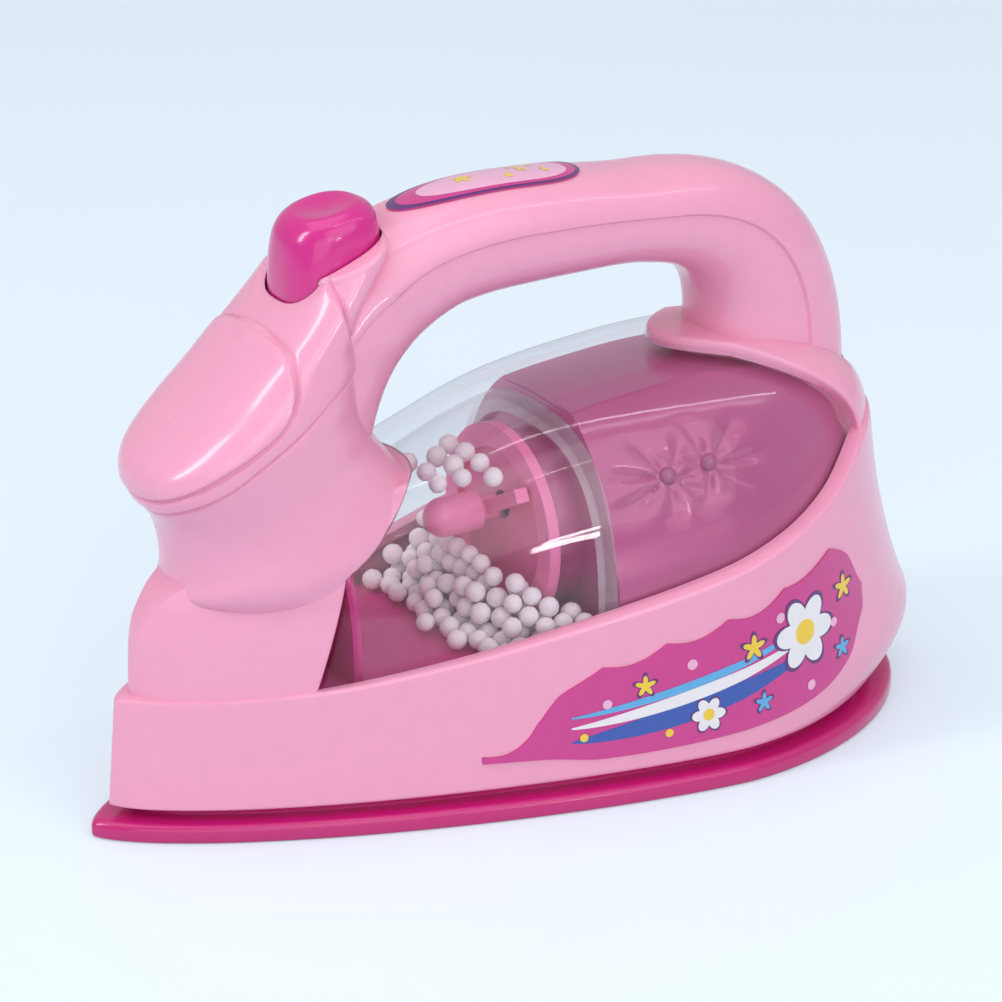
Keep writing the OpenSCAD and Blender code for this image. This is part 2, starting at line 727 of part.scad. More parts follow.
// Clear cover over the window, with a foot that hides behind the rim
module clear_cover() {
    color(clear) intersection() {
        difference() {
            dome(0, 0);
            dome(clear_t, overrun);
        }
        window_prism(seat_gap + run_gap);
    }
}

// Bead chamber: a clear arch inside the cover, with a flange at its rear
chamber_front = -block_rear + chamber_setback;
floor_z = max(rim_z(-block_rear) - floor_drop, bay_top + foot_least);
floor_front = -block_rear + floor_setback;
function chamber_half(x) = dome_half(x, clear_t + cover_gap);
function chamber_low(x) = max(floor_z + liner_t + seat_gap, rim_z(x) - dome_sink);
function chamber_top(x) = floor_z + (ridge_z(x) - clear_t - cover_gap - floor_z) * chamber_drop_share;
function chamber_arch(x, inset, drop) =
    let (n = 2 * side_steps + 6, half = chamber_half(x) - inset, low = chamber_low(x),
         high = chamber_top(x) - inset)
    concat([[x, half, low - drop]],
        [for (i = [0:n]) let (a = 180 * i / n)
            [x, half * super(cos(a), arch_power), low + (high - low) * super(sin(a), arch_power)]],
        [[x, -half, low - drop]]);
module chamber_solid(inset, from, to, drop) {
    skin([for (k = [0:chamber_steps])
        let (x = from + (to - from) * k / chamber_steps) chamber_arch(x, inset, drop)]);
}
module bead_chamber() {
    color(clear) resize([chamber_rear - chamber_front, 0, 0]) difference() {
        chamber_solid(0, chamber_front, chamber_rear, thin);
        chamber_solid(clear_t, chamber_front - overrun, chamber_rear - flange_t, overrun);
        chamber_solid(clear_t + flange_w, chamber_front, chamber_rear + overrun, overrun);
    }
}

// Drive places: the bar's sweep and the face disc fit under the chamber's roof
bar_front = disc_x - disc_t - seat_gap - 2 * run_gap - bar_t;
axis_z = chamber_top(bar_front) - clear_t - bar_tip_gap - norm([bar_reach, bar_w / 2]);
disc_z = chamber_top(disc_x - disc_t) - clear_t - disc_top_gap - disc_r;
disc_drop = axis_z - disc_z;

// Liner: floor under the beads, wall behind them, and a vault to the heel with LED holes
liner_rear = dome_heel - liner_inset - liner_setback;
liner_wall_x = chamber_rear + seat_gap;
led_places = [for (k = led_place_shares) k * half_len];
function floor_side(x) = dome_half(x, wall + seat_gap);
module at_led(i) {
    translate(other_side(arch_point(led_places[i], liner_inset + liner_t * led_sink_share, led_at)))
        rotate([led_lean, led_pitch, 0]) children();
}
module liner_floor() {
    n = chamber_steps;
    xs = [for (i = [0:n]) floor_front + (liner_wall_x + liner_t / 2 - floor_front) * i / n];
    translate([0, 0, floor_z]) linear_extrude(liner_t)
        polygon(concat([for (x = xs) [x, -floor_side(x)]], [for (i = [n:-1:0]) [xs[i], floor_side(xs[i])]]));
}
module liner_form() {
    difference() {
        union() {
            intersection() {
                dome(liner_inset + liner_t / 2, body_h / 2, liner_stations);
                translate([liner_wall_x, -big / 2, floor_z + liner_t / 2]) cube([liner_t, big, big]);
            }
            intersection() {
                difference() {
                    dome(liner_inset, 0, liner_stations);
                    dome(liner_inset + liner_t, overrun, hidden_stations);
                }
                translate([liner_wall_x + liner_t / 3, -big / 2, 0])
                    cube([liner_rear - liner_wall_x - liner_t / 3, big, big]);
            }
            liner_floor();
            chamber_solid(clear_t + seat_gap, chamber_front, chamber_front + liner_t,
                chamber_low(chamber_front) - floor_z - seat_gap);
            translate([liner_wall_x + liner_t / 2, 0, disc_z]) rotate([0, -90, 0])
                cylinder(r = disc_r - disc_rim / 2, h = liner_wall_x - disc_x + liner_t / 2);
            for (side = [-1, 1])
                translate([foot_x, side * foot_y, bay_top])
                    cylinder(d = boss_d, h = floor_z - bay_top + thin, $fn = 16);
        }
        translate([liner_wall_x, 0, disc_z]) rotate([0, -90, 0])
            cylinder(r = disc_r - disc_rim / 2 - liner_t, h = liner_wall_x - disc_x + overrun);
        for (i = [0, 1])
            at_led(i) cylinder(d = led_d + 2 * seat_gap, h = 6 * liner_t, center = true, $fn = 16);
    }
}
module liner() {
    color(pearl) resize([liner_rear - floor_front, 0, 0]) difference() {
        liner_form();
        translate([disc_x, 0, axis_z]) rotate([0, 90, 0]) cylinder(d = collar_d, h = motor_x, $fn = 24);
        for (side = [-1, 1])
            translate([disc_x, side * motor_screw_y, axis_z]) rotate([0, 90, 0])
                cylinder(d = small_screw_d + 2 * seat_gap, h = motor_x, $fn = 16);
    }
}

module face_disc() {
    color(pink) difference() {
        translate([disc_x - seat_gap, 0, disc_z]) rotate([0, -90, 0])
            difference() {
                cylinder(r = disc_r, h = disc_t);
                translate([0, 0, disc_t - disc_dish])
                    cylinder(r = disc_r - disc_rim, h = disc_dish + overrun);
                translate([disc_drop, 0, -overrun])
                    cylinder(d = collar_d + 2 * run_gap, h = disc_t + 2 * overrun);
            }
        translate([-big / 2, -big / 2, floor_z + liner_t + seat_gap - big]) cube(big);
    }
}
module stirrer() {
    color(pink) translate([0, 0, axis_z]) rotate([0, -90, 0]) difference() {
        union() {
            translate([0, 0, -hub_front - hub_len]) cylinder(d = hub_d, h = hub_len - hub_d / 2);
            translate([0, 0, -hub_front - hub_d / 2]) sphere(d = hub_d);
            translate([0, 0, disc_t + seat_gap + run_gap])
                cylinder(d = collar_d, h = -hub_front - hub_len - disc_t);
            rotate([0, 0, 90 + bar_angle])
                translate([-bar_reach, -bar_w / 2, disc_t + seat_gap + 2 * run_gap])
                    cube([2 * bar_reach, bar_w, bar_t]);
        }
        translate([0, 0, -overrun]) cylinder(d = shaft_d, h = -hub_front - hub_d);
    }
}
module motor_shaft() {
    color(metal) translate([motor_x + motor_len / 2, 0, axis_z]) rotate([0, -90, 0])
        cylinder(d = shaft_d, h = motor_x + motor_len / 2 - hub_front - hub_d - shaft_end_gap);
}
module motor() {
    color(metal) translate([motor_x, 0, axis_z]) rotate([0, 90, 0]) difference() {
        intersection() {
            cylinder(d = motor_d, h = motor_len);
            translate([-motor_flat / 2, -motor_d, 0]) cube([motor_flat, 2 * motor_d, motor_len]);
        }
        translate([0, 0, -overrun]) cylinder(d = shaft_d + 2 * bearing_gap, h = motor_len / 2 + 2 * overrun);
        for (side = [-1, 1])
            translate([0, side * motor_screw_y, -overrun])
                cylinder(d = small_screw_d, h = motor_screw_len + overrun);
    }
}
module motor_cradle() {
    low = bay_top;
    seat = axis_z - motor_flat / 2;
    half = motor_d / 2 + cradle_wall;
    color(dark_plastic) difference() {
        translate([motor_x + cradle_setback, -half, low]) cube([cradle_len, 2 * half, axis_z - low]);
        translate([motor_x, -motor_d / 2 - seat_gap, seat])
            cube([cradle_len + cradle_setback + overrun, motor_d + 2 * seat_gap, motor_flat]);
        translate([motor_x, -half + 2 * cradle_wall, low + cradle_wall])
            cube([cradle_len + cradle_setback + overrun, 2 * half - 4 * cradle_wall,
                seat - low - 2 * cradle_wall]);
    }
}
module motor_screws() {
    color(metal) for (side = [-1, 1])
        translate([liner_wall_x - small_head_t, side * motor_screw_y, axis_z]) rotate([0, 90, 0])
            pan_screw(small_screw_d, motor_x - liner_wall_x + motor_screw_len - screw_end_gap, small_head_d,
                small_head_t);
}

// Foam beads, heaped on the chamber floor and clear of the stirrer's sweep
bead_pitch = bead_d + run_gap;
bead_floor = floor_z + liner_t + bead_d / 2 + seat_gap;
bead_room = bead_d / 2 + run_gap;
bead_rear = bar_front - bead_room;
heap_toe = chamber_front + heap_setback;
heap_narrow_z = floor_z + heap_straight;
function bead_half(x) = chamber_half(x) - clear_t - bead_room;
function bead_limit(y, z) =
    norm([y, z - axis_z]) < norm([bar_reach, bar_w / 2]) + bead_room ? bead_rear
    : norm([y, z - disc_z]) < disc_r + bead_room ? disc_x - seat_gap - disc_t - bead_room
    : chamber_rear - flange_t - bead_room;
function bead_ok(p) =
    let (r = norm([p[1], p[2] - axis_z]))
    abs(p[1]) < bead_half(p[0]) - max(p[2] - heap_narrow_z, 0) && p[0] <= bead_limit(p[1], p[2])
    && p[2] < bead_floor + heap_slope * (p[0] - heap_toe + heap_skew_share * p[1])
    && !(r < hub_d / 2 + bead_d / 2 + run_gap && p[0] > hub_front - bead_d / 2 - run_gap);
module foam_beads() {
    color(bead_white)
        for (k = [0:4], j = [-6:6], i = [-3:7])
            let (p = [bead_rear - bead_pitch * (i + (abs(j + k) % 2) / 2), j * bead_pitch,
                      bead_floor + k * bead_pitch])
                if (bead_ok(p)) translate(p) sphere(d = bead_d);
}

module button() {
    low = -button_skirt;
    color(magenta) at_seat() union() {
        skin(concat(
            [button_ring(low, 0, seat_slope)],
            [for (b = button_shares)
                button_ring(button_rise * b[0], -button_w / 2 * b[1], seat_slope * b[2])]));
        skin([wing_ring(-wing_drop - wing_t, 0), wing_ring(-wing_drop, 0)]);
        translate([0, 0, low - stem_drop]) cylinder(d = stem_d, h = stem_drop + thin);
        translate([0, 0, low - spring_seat_drop]) cylinder(d = spring_seat_d, h = spring_seat_drop + thin);
    }
}
switch_top = -button_skirt - stem_drop - button_travel - run_gap;
spring_len = stem_drop - spring_seat_drop + button_travel + run_gap - 2 * seat_gap;
spring_r = stem_d / 2 + spring_wire;
module button_spring() {
    color(metal) at_seat() translate([0, 0, switch_top + seat_gap])
        coil(spring_turns, spring_len, spring_r, spring_r, spring_wire);
}
module switch_body() {
    color(dark_plastic) at_seat() translate([0, 0, switch_top - switch_h]) difference() {
        translate([-switch_side / 2, -switch_side / 2, 0]) cube([switch_side, switch_side, switch_h]);
        translate([0, 0, shelf_t / 2]) cylinder(d = plunger_d + 2 * run_gap, h = switch_h);
    }
}
module switch_plunger() {
    color(metal) at_seat()
        translate([0, 0, switch_top + button_travel + run_gap - thin - plunger_len])
            cylinder(d = plunger_d, h = plunger_len);
}
module circuit_board() {
    color(board_green) translate([board_x, -board_half_w, bay_top + seat_gap])
        cube([board_len, 2 * board_half_w, board_t]);
}
module leds() {
    color(bead_white) for (i = [0, 1])
        at_led(i) {
            translate([0, 0, -led_len]) cylinder(d = led_d, h = led_len);
            sphere(d = led_d);
            translate([0, 0, -led_len - led_flange + thin])
                cylinder(d = led_d + 2 * led_flange, h = led_flange);
        }
}

// Labels: thin patches that follow the skirt's side and the grip's top
function skirt_side(x, z) =
    let (v = (z - skirt_z) / (rim_z(x) - skirt_z))
    half_width(x, skirt_tip + skirt_draft * v, half_len * curve(heel_roll_shares, v),
        skirt_w - skirt_draft * v, tip_round);
function label_ring(x) =
    let (u = x / half_len, lobe = lobe_depth * abs(sin(180 * label_lobes * u)),
         low = body_h * curve(label_low_shares, u), high = body_h * curve(label_high_shares, u) - lobe,
         zs = [for (i = [0:label_rows]) high + (low - high) * i / label_rows])
    concat([for (z = zs) [x, -skirt_side(x, z) - film_lift - film_t, z]],
        [for (i = [label_rows:-1:0]) [x, -skirt_side(x, zs[i]) - film_lift, zs[i]]]);
module side_label() {
    n = 3 * label_lobes;
    a = label_span_shares[0] * half_len;
    b = label_span_shares[1] * half_len;
    skin([for (i = [0:n]) label_ring(a + (b - a) * i / n)]);
}
module side_label_left() {
    color(magenta) side_label();
}
module side_label_right() {
    color(magenta) mirror([0, 1, 0]) side_label();
}
module handle_label() {
    n = 12;
    mid = (grip_label_from + grip_label_to) / 2;
    half = (grip_label_to - grip_label_from) / 2;
    color(magenta) skin([for (i = [0:n])
        let (c = -cos(180 * (i + 0.5) / (n + 1)), s = mid + half * c,
             spread = grip_label_spread * pow(1 - pow(c, 4), 0.5))
            concat([for (k = [-label_rows:label_rows])
                    grip_point(s, 90 + spread * k / label_rows, film_lift + film_t)],
                [for (k = [label_rows:-1:-label_rows])
                    grip_point(s, 90 + spread * k / label_rows, film_lift)])]);
}

housing_left();
housing_right();
sole_plate();
battery_door();
battery_door_screw();
battery_cells();
contact_springs();
contact_plates();
clear_cover();
bead_chamber();
liner();
face_disc();
stirrer();
motor_shaft();
motor();
motor_cradle();
motor_screws();
foam_beads();
button();
button_spring();
switch_body();
switch_plunger();
circuit_board();
leds();
housing_screws();
sole_screws();
side_label_left();
side_label_right();
handle_label();
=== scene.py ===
import math

import bmesh
import bpy
import numpy as np
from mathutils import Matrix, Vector
from mathutils.bvhtree import BVHTree


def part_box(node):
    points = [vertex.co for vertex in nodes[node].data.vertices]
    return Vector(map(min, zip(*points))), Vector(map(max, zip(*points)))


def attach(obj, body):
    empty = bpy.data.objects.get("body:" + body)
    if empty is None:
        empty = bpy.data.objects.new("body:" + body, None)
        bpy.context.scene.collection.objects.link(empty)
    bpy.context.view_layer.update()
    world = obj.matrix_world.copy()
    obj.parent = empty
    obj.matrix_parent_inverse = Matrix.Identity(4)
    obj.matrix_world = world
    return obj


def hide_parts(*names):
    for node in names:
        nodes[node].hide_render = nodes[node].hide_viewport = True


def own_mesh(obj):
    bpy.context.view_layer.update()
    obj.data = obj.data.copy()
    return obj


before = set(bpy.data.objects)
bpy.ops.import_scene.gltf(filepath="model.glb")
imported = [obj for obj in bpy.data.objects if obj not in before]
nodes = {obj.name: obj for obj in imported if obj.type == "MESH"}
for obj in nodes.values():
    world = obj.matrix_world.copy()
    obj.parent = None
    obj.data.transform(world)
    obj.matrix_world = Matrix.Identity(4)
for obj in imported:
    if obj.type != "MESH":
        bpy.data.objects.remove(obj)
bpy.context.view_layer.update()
scene = bpy.context.scene

# Sizes are in millimetres and turned into metres where a mesh is made
MM = 0.001
HALF = 77.0
HIGH = 98.0
WIDE = 74.0
WALL = 2.0
RUN_GAP = 0.35
SEAT_GAP = 0.15

# Plan of the body, seen from above
WIDEST = round(0.325 * HALF, 3)
FLANK_POW = 1.4
HEEL_POW = 1.9
TIP_ROUND = 0.70
BLOCK_ROUND = 0.62
TIP_SHARE = 1.6

# Sole plate and skirt
SOLE_T = 3.0
SOLE_HEEL = 73.0
OVERHANG = 2.6
UPSTAND_TOP = 7.6
UPSTAND_T = 1.6
SKIRT_Z = 4.8
SKIRT_TIP = -73.8
SKIRT_W = WIDE / 2 - OVERHANG
DRAFT = 1.6
LIP_LAP = 1.2
LIP_T = 1.8

# Dome, and the edges of the block and the collar that frame its window
DOME_TIP = -69.6
DOME_HEEL = 65.77
DOME_W = 30.2
SINK = 4.0
LEAN = 66.0
LEAN_COS = math.cos(math.radians(LEAN))
LEAN_SIN = math.sin(math.radians(LEAN))
RIDGE_HALF = 10.5
RIDGE_MOST = 0.62
CROWN = 0.02
BLOCK_REAR = 44.0
BLOCK_SLOPE = 0.32
BLOCK_EDGE = 0.7
COLLAR_FRONT = 27.6
COLLAR_REACH = 24.5
COLLAR_HALF = 18.0
COLLAR_POW = 1.9
COLLAR_RISE = 1.1
COLLAR_EDGE = 0.8

# Head and grip
HEAD_HALF = 21.0
HEAD_HALF_W = 15.5
HEAD_H = 38.0
HEAD_EDGE = 0.9
HEAD_POW = 2.3
BROW_STEP = 0.45
BROW_GROOVE = 0.55
EASE_LOW = (72, 78)
EASE_HIGH = (91, 85)
TILT = math.radians(22)
NECK = (-0.565 * HALF, 0.4745 * HIGH)
GRIP_R = 8.5
GRIP_HALF_W = 11.0
GRIP_SPLIT = 0.2
GRIP_LEDGE = 0.6
GRIP_ENDS = 4
ROOT_SHARE = 0.6
ROOT_STOP = 0.8

# Push button and its return spring
SEAT = np.array([-33.596, 0.0, 91.489])
BUTTON_L = 16.4
BUTTON_W = 16.8
BUTTON_POW = 2.7
OPENING = np.array([BUTTON_L, BUTTON_W]) / 2 + RUN_GAP
SPRING_WIRE = 0.6
SPRING_TURNS = 4

# Clear cover, bead chamber and liner
CLEAR_T = 1.4
COVER_GAP = 0.9
COVER_FRONT_GAP = 0.45
COVER_REAR_GAP = 0.4
CHAMBER_FRONT = -37.0
CHAMBER_REAR = 5.3
CHAMBER_SHARE = 0.95
FLANGE_W = 2.0
ARCH_POW = 2.7
LINER_IN = 3.2
LINER_T = 1.6
LINER_FLARE = 1.3
FLUTES = 7
LINER_WALL = CHAMBER_REAR + SEAT_GAP
LINER_FRONT = 5.6
LINER_REAR = 60.0
FLOOR_Z = 20.991
FLOOR_FRONT = -43.0
FLOOR_REAR = 6.2
LED_X = (0.327 * HALF, 0.227 * HALF)
LED_AT = 35.3

# Drive and beads
AXIS_Z = 41.705
DISC_Z = 38.318
DISC_SEAT_R = 15.0
HUB_R = 3.3
HUB_FRONT = -15.7
BEAD_R = 1.85
BEADS = 118
BEAD_FRONT = -33.4
BEAD_REAR = 1.6
SWEEP_R = 15.1
SWEEP_FRONT = -7.5
DISC_ROOM_R = 19.3
DISC_FRONT = -4.5

# Screw bosses as shares in side view, and those of the sole in plan
SCREW_BORE = 2.65
BOSSES = [[-.545, .673], [.026, .903], [.649, .694], [-.727, .306], [.831, .286]]
SOLE_BOSSES = [[-45.969, 13.172], [55.979, 19.415]]

# Outlines as shares of the body's half length and height
RIM = [[-.96, .236], [-.6, .244], [-.29, .275], [-.03, .312], [.3, .362], [.49, .403], [.61, .445],
       [.71, .5], [.8, .523], [.98, .53]]
RIDGE = [[-.91, .215], [-.895, .33], [-.86, .385], [-.8, .425], [-.6, .495], [-.31, .55],
         [-.03, .626], [.24, .658], [.48, .663], [.68, .632], [.81, .572], [.9, .505]]
HEEL_ROLL = [[0, .893], [.06, .95], [.14, .992], [.22, 1], [.32, .975], [.46, .942], [.72, .898],
             [1, .871]]
GRIP_PATH = [[-.545, .65], [-.46, .815], [-.31, .908], [-.02, .908], [.13, .908], [.22, .905],
             [.325, .896], [.53, .885], [.655, .8], [.632, .59], [.632, .55], [.632, .51], [.632, .47]]
GRIP_THICK = [1.24, 1.14, 1.04, 1.0, 1.48, 2.05, 2.2]
GRIP_WIDE = [1.0, 1.0, 1.0, 1.0, 1.0, 1.02, 1.2]
LABEL_LOW = [[-.27, .098], [-.12, .092], [0, .08], [.3, .085], [.52, .105], [.63, .15], [.69, .225],
             [.8, .24]]
LABEL_HIGH = [[-.27, .115], [-.16, .14], [-.09, .215], [0, .24], [.2, .275], [.4, .31], [.54, .35],
              [.63, .345], [.69, .27], [.8, .26]]

# Head sections, as shares: height, front, back and half width. Then the lines of visor and brow
HEAD = [[-.19, -.65, 1.03, .97], [-.09, -.84, 1.09, 1.01], [0, -.96, 1.08, .96], [.08, -.89, 1.04, .92],
        [.16, -.84, 1.0, .9], [.24, -.81, .97, .91], [.32, -.8, .97, .94], [.42, -.84, 1.0, .97],
        [.5, -.845, 1.04, 1.0], [.575, -.77, 1.08, 1.0], [.635, -.54, 1.13, .985],
        [.71, -.15, 1.16, .94], [.79, .22, 1.25, .9], [.885, .63, 1.44, .85], [.96, .86, 1.64, .8],
        [1, .93, 1.7, .77]]
VISOR = [[.47, .92], [.5, .85], [.42, .76], [.32, .675], [.15, .61], [-.11, .576], [-.41, .548],
         [-.69, .515], [-1.1, .465]]
BROW = [[.98, .92], [.95, .8], [.95, .65], [.87, .59], [.65, .592], [.41, .564], [.15, .533],
        [-.11, .508], [-.39, .471], [-.67, .445], [-1.1, .4]]


# Curves and surfaces
def curve(table, x):
    """Smooth curve through a table of points, each slope taken from the neighbours."""
    xs, ys = np.asarray(table, float).T
    last = len(xs) - 1
    index = np.arange(last + 1)
    before, after = np.maximum(index - 1, 0), np.minimum(index + 1, last)
    slope = (ys[after] - ys[before]) / (xs[after] - xs[before])
    x = np.asarray(x, float)
    i = np.clip(np.searchsorted(xs, x, side="right") - 1, 0, last - 1)
    width = xs[i + 1] - xs[i]
    t = np.clip((x - xs[i]) / width, 0, 1)
    s = t * t * (3 - 2 * t)
    bow = t * (1 - t) ** 2 * slope[i] + t * t * (t - 1) * slope[i + 1]
    return ys[i] * (1 - s) + ys[i + 1] * s + width * bow


def smooth(a, b, x):
    t = np.clip((x - a) / (b - a), 0, 1)
    return t * t * (3 - 2 * t)


def power(c, n):
    """Cosine or sine of a superellipse of power n."""
    return np.sign(c) * np.abs(c) ** (2 / n)


def spread(*values):
    """Arrays of one shape."""
    return np.broadcast_arrays(*(np.asarray(v, float) for v in values))


def unit(v):
    return v / np.maximum(np.linalg.norm(v, axis=-1, keepdims=True), 1e-9)


def turn(count):
    """Angles of one full turn."""
    return np.linspace(0, 2 * math.pi, count, endpoint=False)


def half_width(x, tip, heel, width, rounding):
    x = np.asarray(x, float)
    front = np.clip((WIDEST - x) / (WIDEST - tip), 0, 1) ** FLANK_POW
    rear = np.clip((x - WIDEST) / (heel - WIDEST), 0, 1) ** HEEL_POW
    return width * np.where(x < WIDEST, (1 - front) ** rounding, (1 - rear) ** (1 / HEEL_POW))


def plan(angle, tip, heel, width, rounding):
    """Points of the body's outline from above, at angles round its widest place."""
    c = np.cos(angle)
    rear = (heel - WIDEST) * np.abs(c) ** (2 / HEEL_POW)
    x = WIDEST + np.where(c >= 0, rear, (WIDEST - tip) * c)
    return x, np.sign(np.round(np.sin(angle), 9)) * half_width(x, tip, heel, width, rounding)


def rim_z(x):
    return HIGH * curve(RIM, np.asarray(x) / HALF)


def ridge_z(x):
    return HIGH * curve(RIDGE, np.asarray(x) / HALF)


def skirt_pt(angle, v, inset=0.0):
    """Point of the skirt's wall, with v from 0 at its foot to 1 at its rim."""
    tip = SKIRT_TIP + DRAFT * v + inset * TIP_SHARE
    heel = HALF * np.minimum(curve(HEEL_ROLL, v), 1) - inset
    x, y = plan(angle, tip, heel, SKIRT_W - DRAFT * v - inset, TIP_ROUND)
    return np.stack([x, y, SKIRT_Z + v * (rim_z(x) - SKIRT_Z)], -1)


def skirt_side(x, z):
    v = (z - SKIRT_Z) / (rim_z(x) - SKIRT_Z)
    heel = HALF * curve(HEEL_ROLL, v)
    return half_width(x, SKIRT_TIP + DRAFT * v, heel, SKIRT_W - DRAFT * v, TIP_ROUND)


def dome_half(x, inset):
    tip = DOME_TIP + inset * TIP_SHARE
    return np.maximum(half_width(x, tip, DOME_HEEL - inset, DOME_W - inset, BLOCK_ROUND), .05)


def dome_levels(x, inset):
    """Foot and top of the dome's arch at x, and its half widths at the foot and at the ridge."""
    foot = rim_z(x) - SINK / 2
    half = dome_half(x, inset)
    return foot, np.maximum(ridge_z(x) - inset, foot), half, np.minimum(RIDGE_HALF, half * RIDGE_MOST)


def arch(x, h, inset=0.0):
    """Point of the dome's arch at x, with h 0 at the rim, 1 at the ridge and 2 on the middle line."""
    x, h = spread(x, h)
    foot, top, half, ridge = dome_levels(x, inset)
    lean = np.radians(LEAN * np.clip(h, 0, 1))
    flat = np.clip(h - 1, 0, 1)
    y = (ridge + (half - ridge) * (np.cos(lean) - LEAN_COS) / (1 - LEAN_COS)) * (1 - flat)
    side = np.sin(lean) / LEAN_SIN
    z = foot + (top - foot) * side + (top - foot) * CROWN * (1 - (1 - flat) ** 2)
    return np.stack([x, y, np.where(h < 0, foot + h * SINK, z)], -1)


def dome_z(x, y, inset=0.0):
    """Height of the dome over a point, and far below it outside the dome."""
    foot, top, half, ridge = dome_levels(x, inset)
    out = (np.abs(y) - ridge) / np.maximum(half - ridge, 1e-6)
    c = np.clip(LEAN_COS + out * (1 - LEAN_COS), LEAN_COS, 1)
    z = foot + (top - foot) * np.sqrt(1 - c * c) / LEAN_SIN
    return np.where(np.abs(y) < half, z, -1e3)


def both_sides(p):
    """A ring: the arch's line up one side, over the middle and down the other."""
    return np.concatenate([p, (p * np.array([1, -1, 1]))[::-1][1:]])


def block_x(z):
    return -BLOCK_REAR + (z - rim_z(-BLOCK_REAR)) * BLOCK_SLOPE


def collar_x(y):
    return COLLAR_FRONT + COLLAR_REACH * (np.abs(y) / COLLAR_HALF) ** COLLAR_POW


def solve_x(h, inset, edge, lo, hi):
    """Where the arch line h crosses an edge given as x = edge(point)."""
    lo, hi = np.full(h.shape, lo, float), np.full(h.shape, hi, float)
    for _ in range(48):
        mid = (lo + hi) / 2
        past = mid > edge(arch(mid, h, inset))
        hi, lo = np.where(past, mid, hi), np.where(past, lo, mid)
    return (lo + hi) / 2


def head_place(p, y, q):
    """Point of the tilted head, p along it and q up from the neck."""
    x = NECK[0] + p * math.cos(TILT) - q * math.sin(TILT)
    return np.stack([x, y + 0 * p, NECK[1] + p * math.sin(TILT) + q * math.cos(TILT)], -1)


def path_pt(s):
    """Point of the grip's middle line, four cubic curves end to end."""
    s = np.asarray(s, float)
    k = np.minimum(np.floor(s), GRIP_ENDS - 1).astype(int)
    t = (s - k)[..., None]
    p = np.array(GRIP_PATH)
    near = p[3 * k] * (1 - t) ** 3 + p[3 * k + 1] * 3 * t * (1 - t) ** 2
    return (near + p[3 * k + 2] * 3 * t * t * (1 - t) + p[3 * k + 3] * t ** 3) * np.array([HALF, HIGH])


def along(table, s):
    return curve([[i * GRIP_ENDS / (len(table) - 1), v] for i, v in enumerate(table)], s)


def grip_pt(s, angle, grow=0.0):
    """Point of the grip's skin, with the ledge below the split line."""
    s, angle = spread(s, angle)
    c = path_pt(s)
    d = path_pt(np.minimum(s + .02, GRIP_ENDS)) - path_pt(np.maximum(s - .02, 0))
    way = np.arctan2(d[..., 1], d[..., 0])
    up = np.sin(angle)
    ledge = GRIP_LEDGE * smooth(GRIP_SPLIT + .015, GRIP_SPLIT - .015, up)
    r = GRIP_R * along(GRIP_THICK, s) + grow - ledge
    y = (GRIP_HALF_W * along(GRIP_WIDE, s) + grow - ledge) * power(np.cos(angle), HEAD_POW)
    root = 1 + ROOT_SHARE * np.maximum(1 - s / ROOT_STOP, 0)
    o = r * power(up, HEAD_POW) * np.where(up < 0, root, 1)
    return np.stack([c[..., 0] - o * np.sin(way), y, c[..., 1] + o * np.cos(way)], -1)


# Mesh building
class Shell:
    """Points and faces in millimetres, gathered from grids and caps."""

    def __init__(self):
        self.points, self.faces, self.mats = [], [], []

    def grid(self, pts, wrap_u=False, wrap_v=False, flip=False, mat=0):
        pts = np.asarray(pts, float)
        nu, nv = pts.shape[:2]
        o = len(self.points)
        self.points.extend(pts.reshape(-1, 3).tolist())
        for i in range(nu if wrap_u else nu - 1):
            for j in range(nv if wrap_v else nv - 1):
                k, n = (i + 1) % nu, (j + 1) % nv
                face = (o + i * nv + j, o + k * nv + j, o + k * nv + n, o + i * nv + n)
                self.faces.append(face[::-1] if flip else face)
                self.mats.append(mat)
        return self

    def cap(self, ring, flip=False, mat=0):
        """A fan over a closed ring of points."""
        ring = np.asarray(ring, float)
        n, o = len(ring), len(self.points)
        self.points.extend(ring.tolist() + [ring.mean(0).tolist()])
        for i in range(n):
            face = (o + i, o + (i + 1) % n, o + n)
            self.faces.append(face[::-1] if flip else face)
            self.mats.append(mat)
        return self

    def mesh(self, name, weld=2e-6, angle=38):
        me = bpy.data.meshes.new(name)
        me.from_pydata([[c * MM for c in p] for p in self.points], [], self.faces)
        me.polygons.foreach_set("material_index", self.mats)
        bm = bmesh.new()
        bm.from_mesh(me)
        bmesh.ops.remove_doubles(bm, verts=bm.verts, dist=weld)
        bmesh.ops.dissolve_degenerate(bm, dist=1e-7, edges=bm.edges)
        bm.to_mesh(me)
        bm.free()
        return smoothed(me, angle)


def smoothed(me, angle=38):
    me.shade_smooth()
    me.set_sharp_from_angle(angle=math.radians(angle))
    return me


def placed(name, data):
    """A new object in the scene."""
    obj = bpy.data.objects.new(name, data)
    scene.collection.objects.link(obj)
    return obj


def put(name, mesh, mats, node, body="body"):
    """A new piece that rides on a body and stands for a node."""
    obj = placed(name, mesh)
    for m in mats:
        mesh.materials.append(m)
    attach(obj, body)
    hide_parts(node)
    return obj


def outward(mesh):
    bm = bmesh.new()
    bm.from_mesh(mesh)
    bmesh.ops.recalc_face_normals(bm, faces=bm.faces)
    if bm.calc_volume(signed=True) < 0:
        bmesh.ops.reverse_faces(bm, faces=bm.faces)
    bm.to_mesh(mesh)
    bm.free()
    return mesh


def loft(rings, name):
    """A closed solid through closed rings, capped at both ends."""
    sh = Shell().grid(rings, wrap_v=True)
    sh.cap(rings[0]).cap(rings[-1], flip=True)
    return outward(sh.mesh(name))


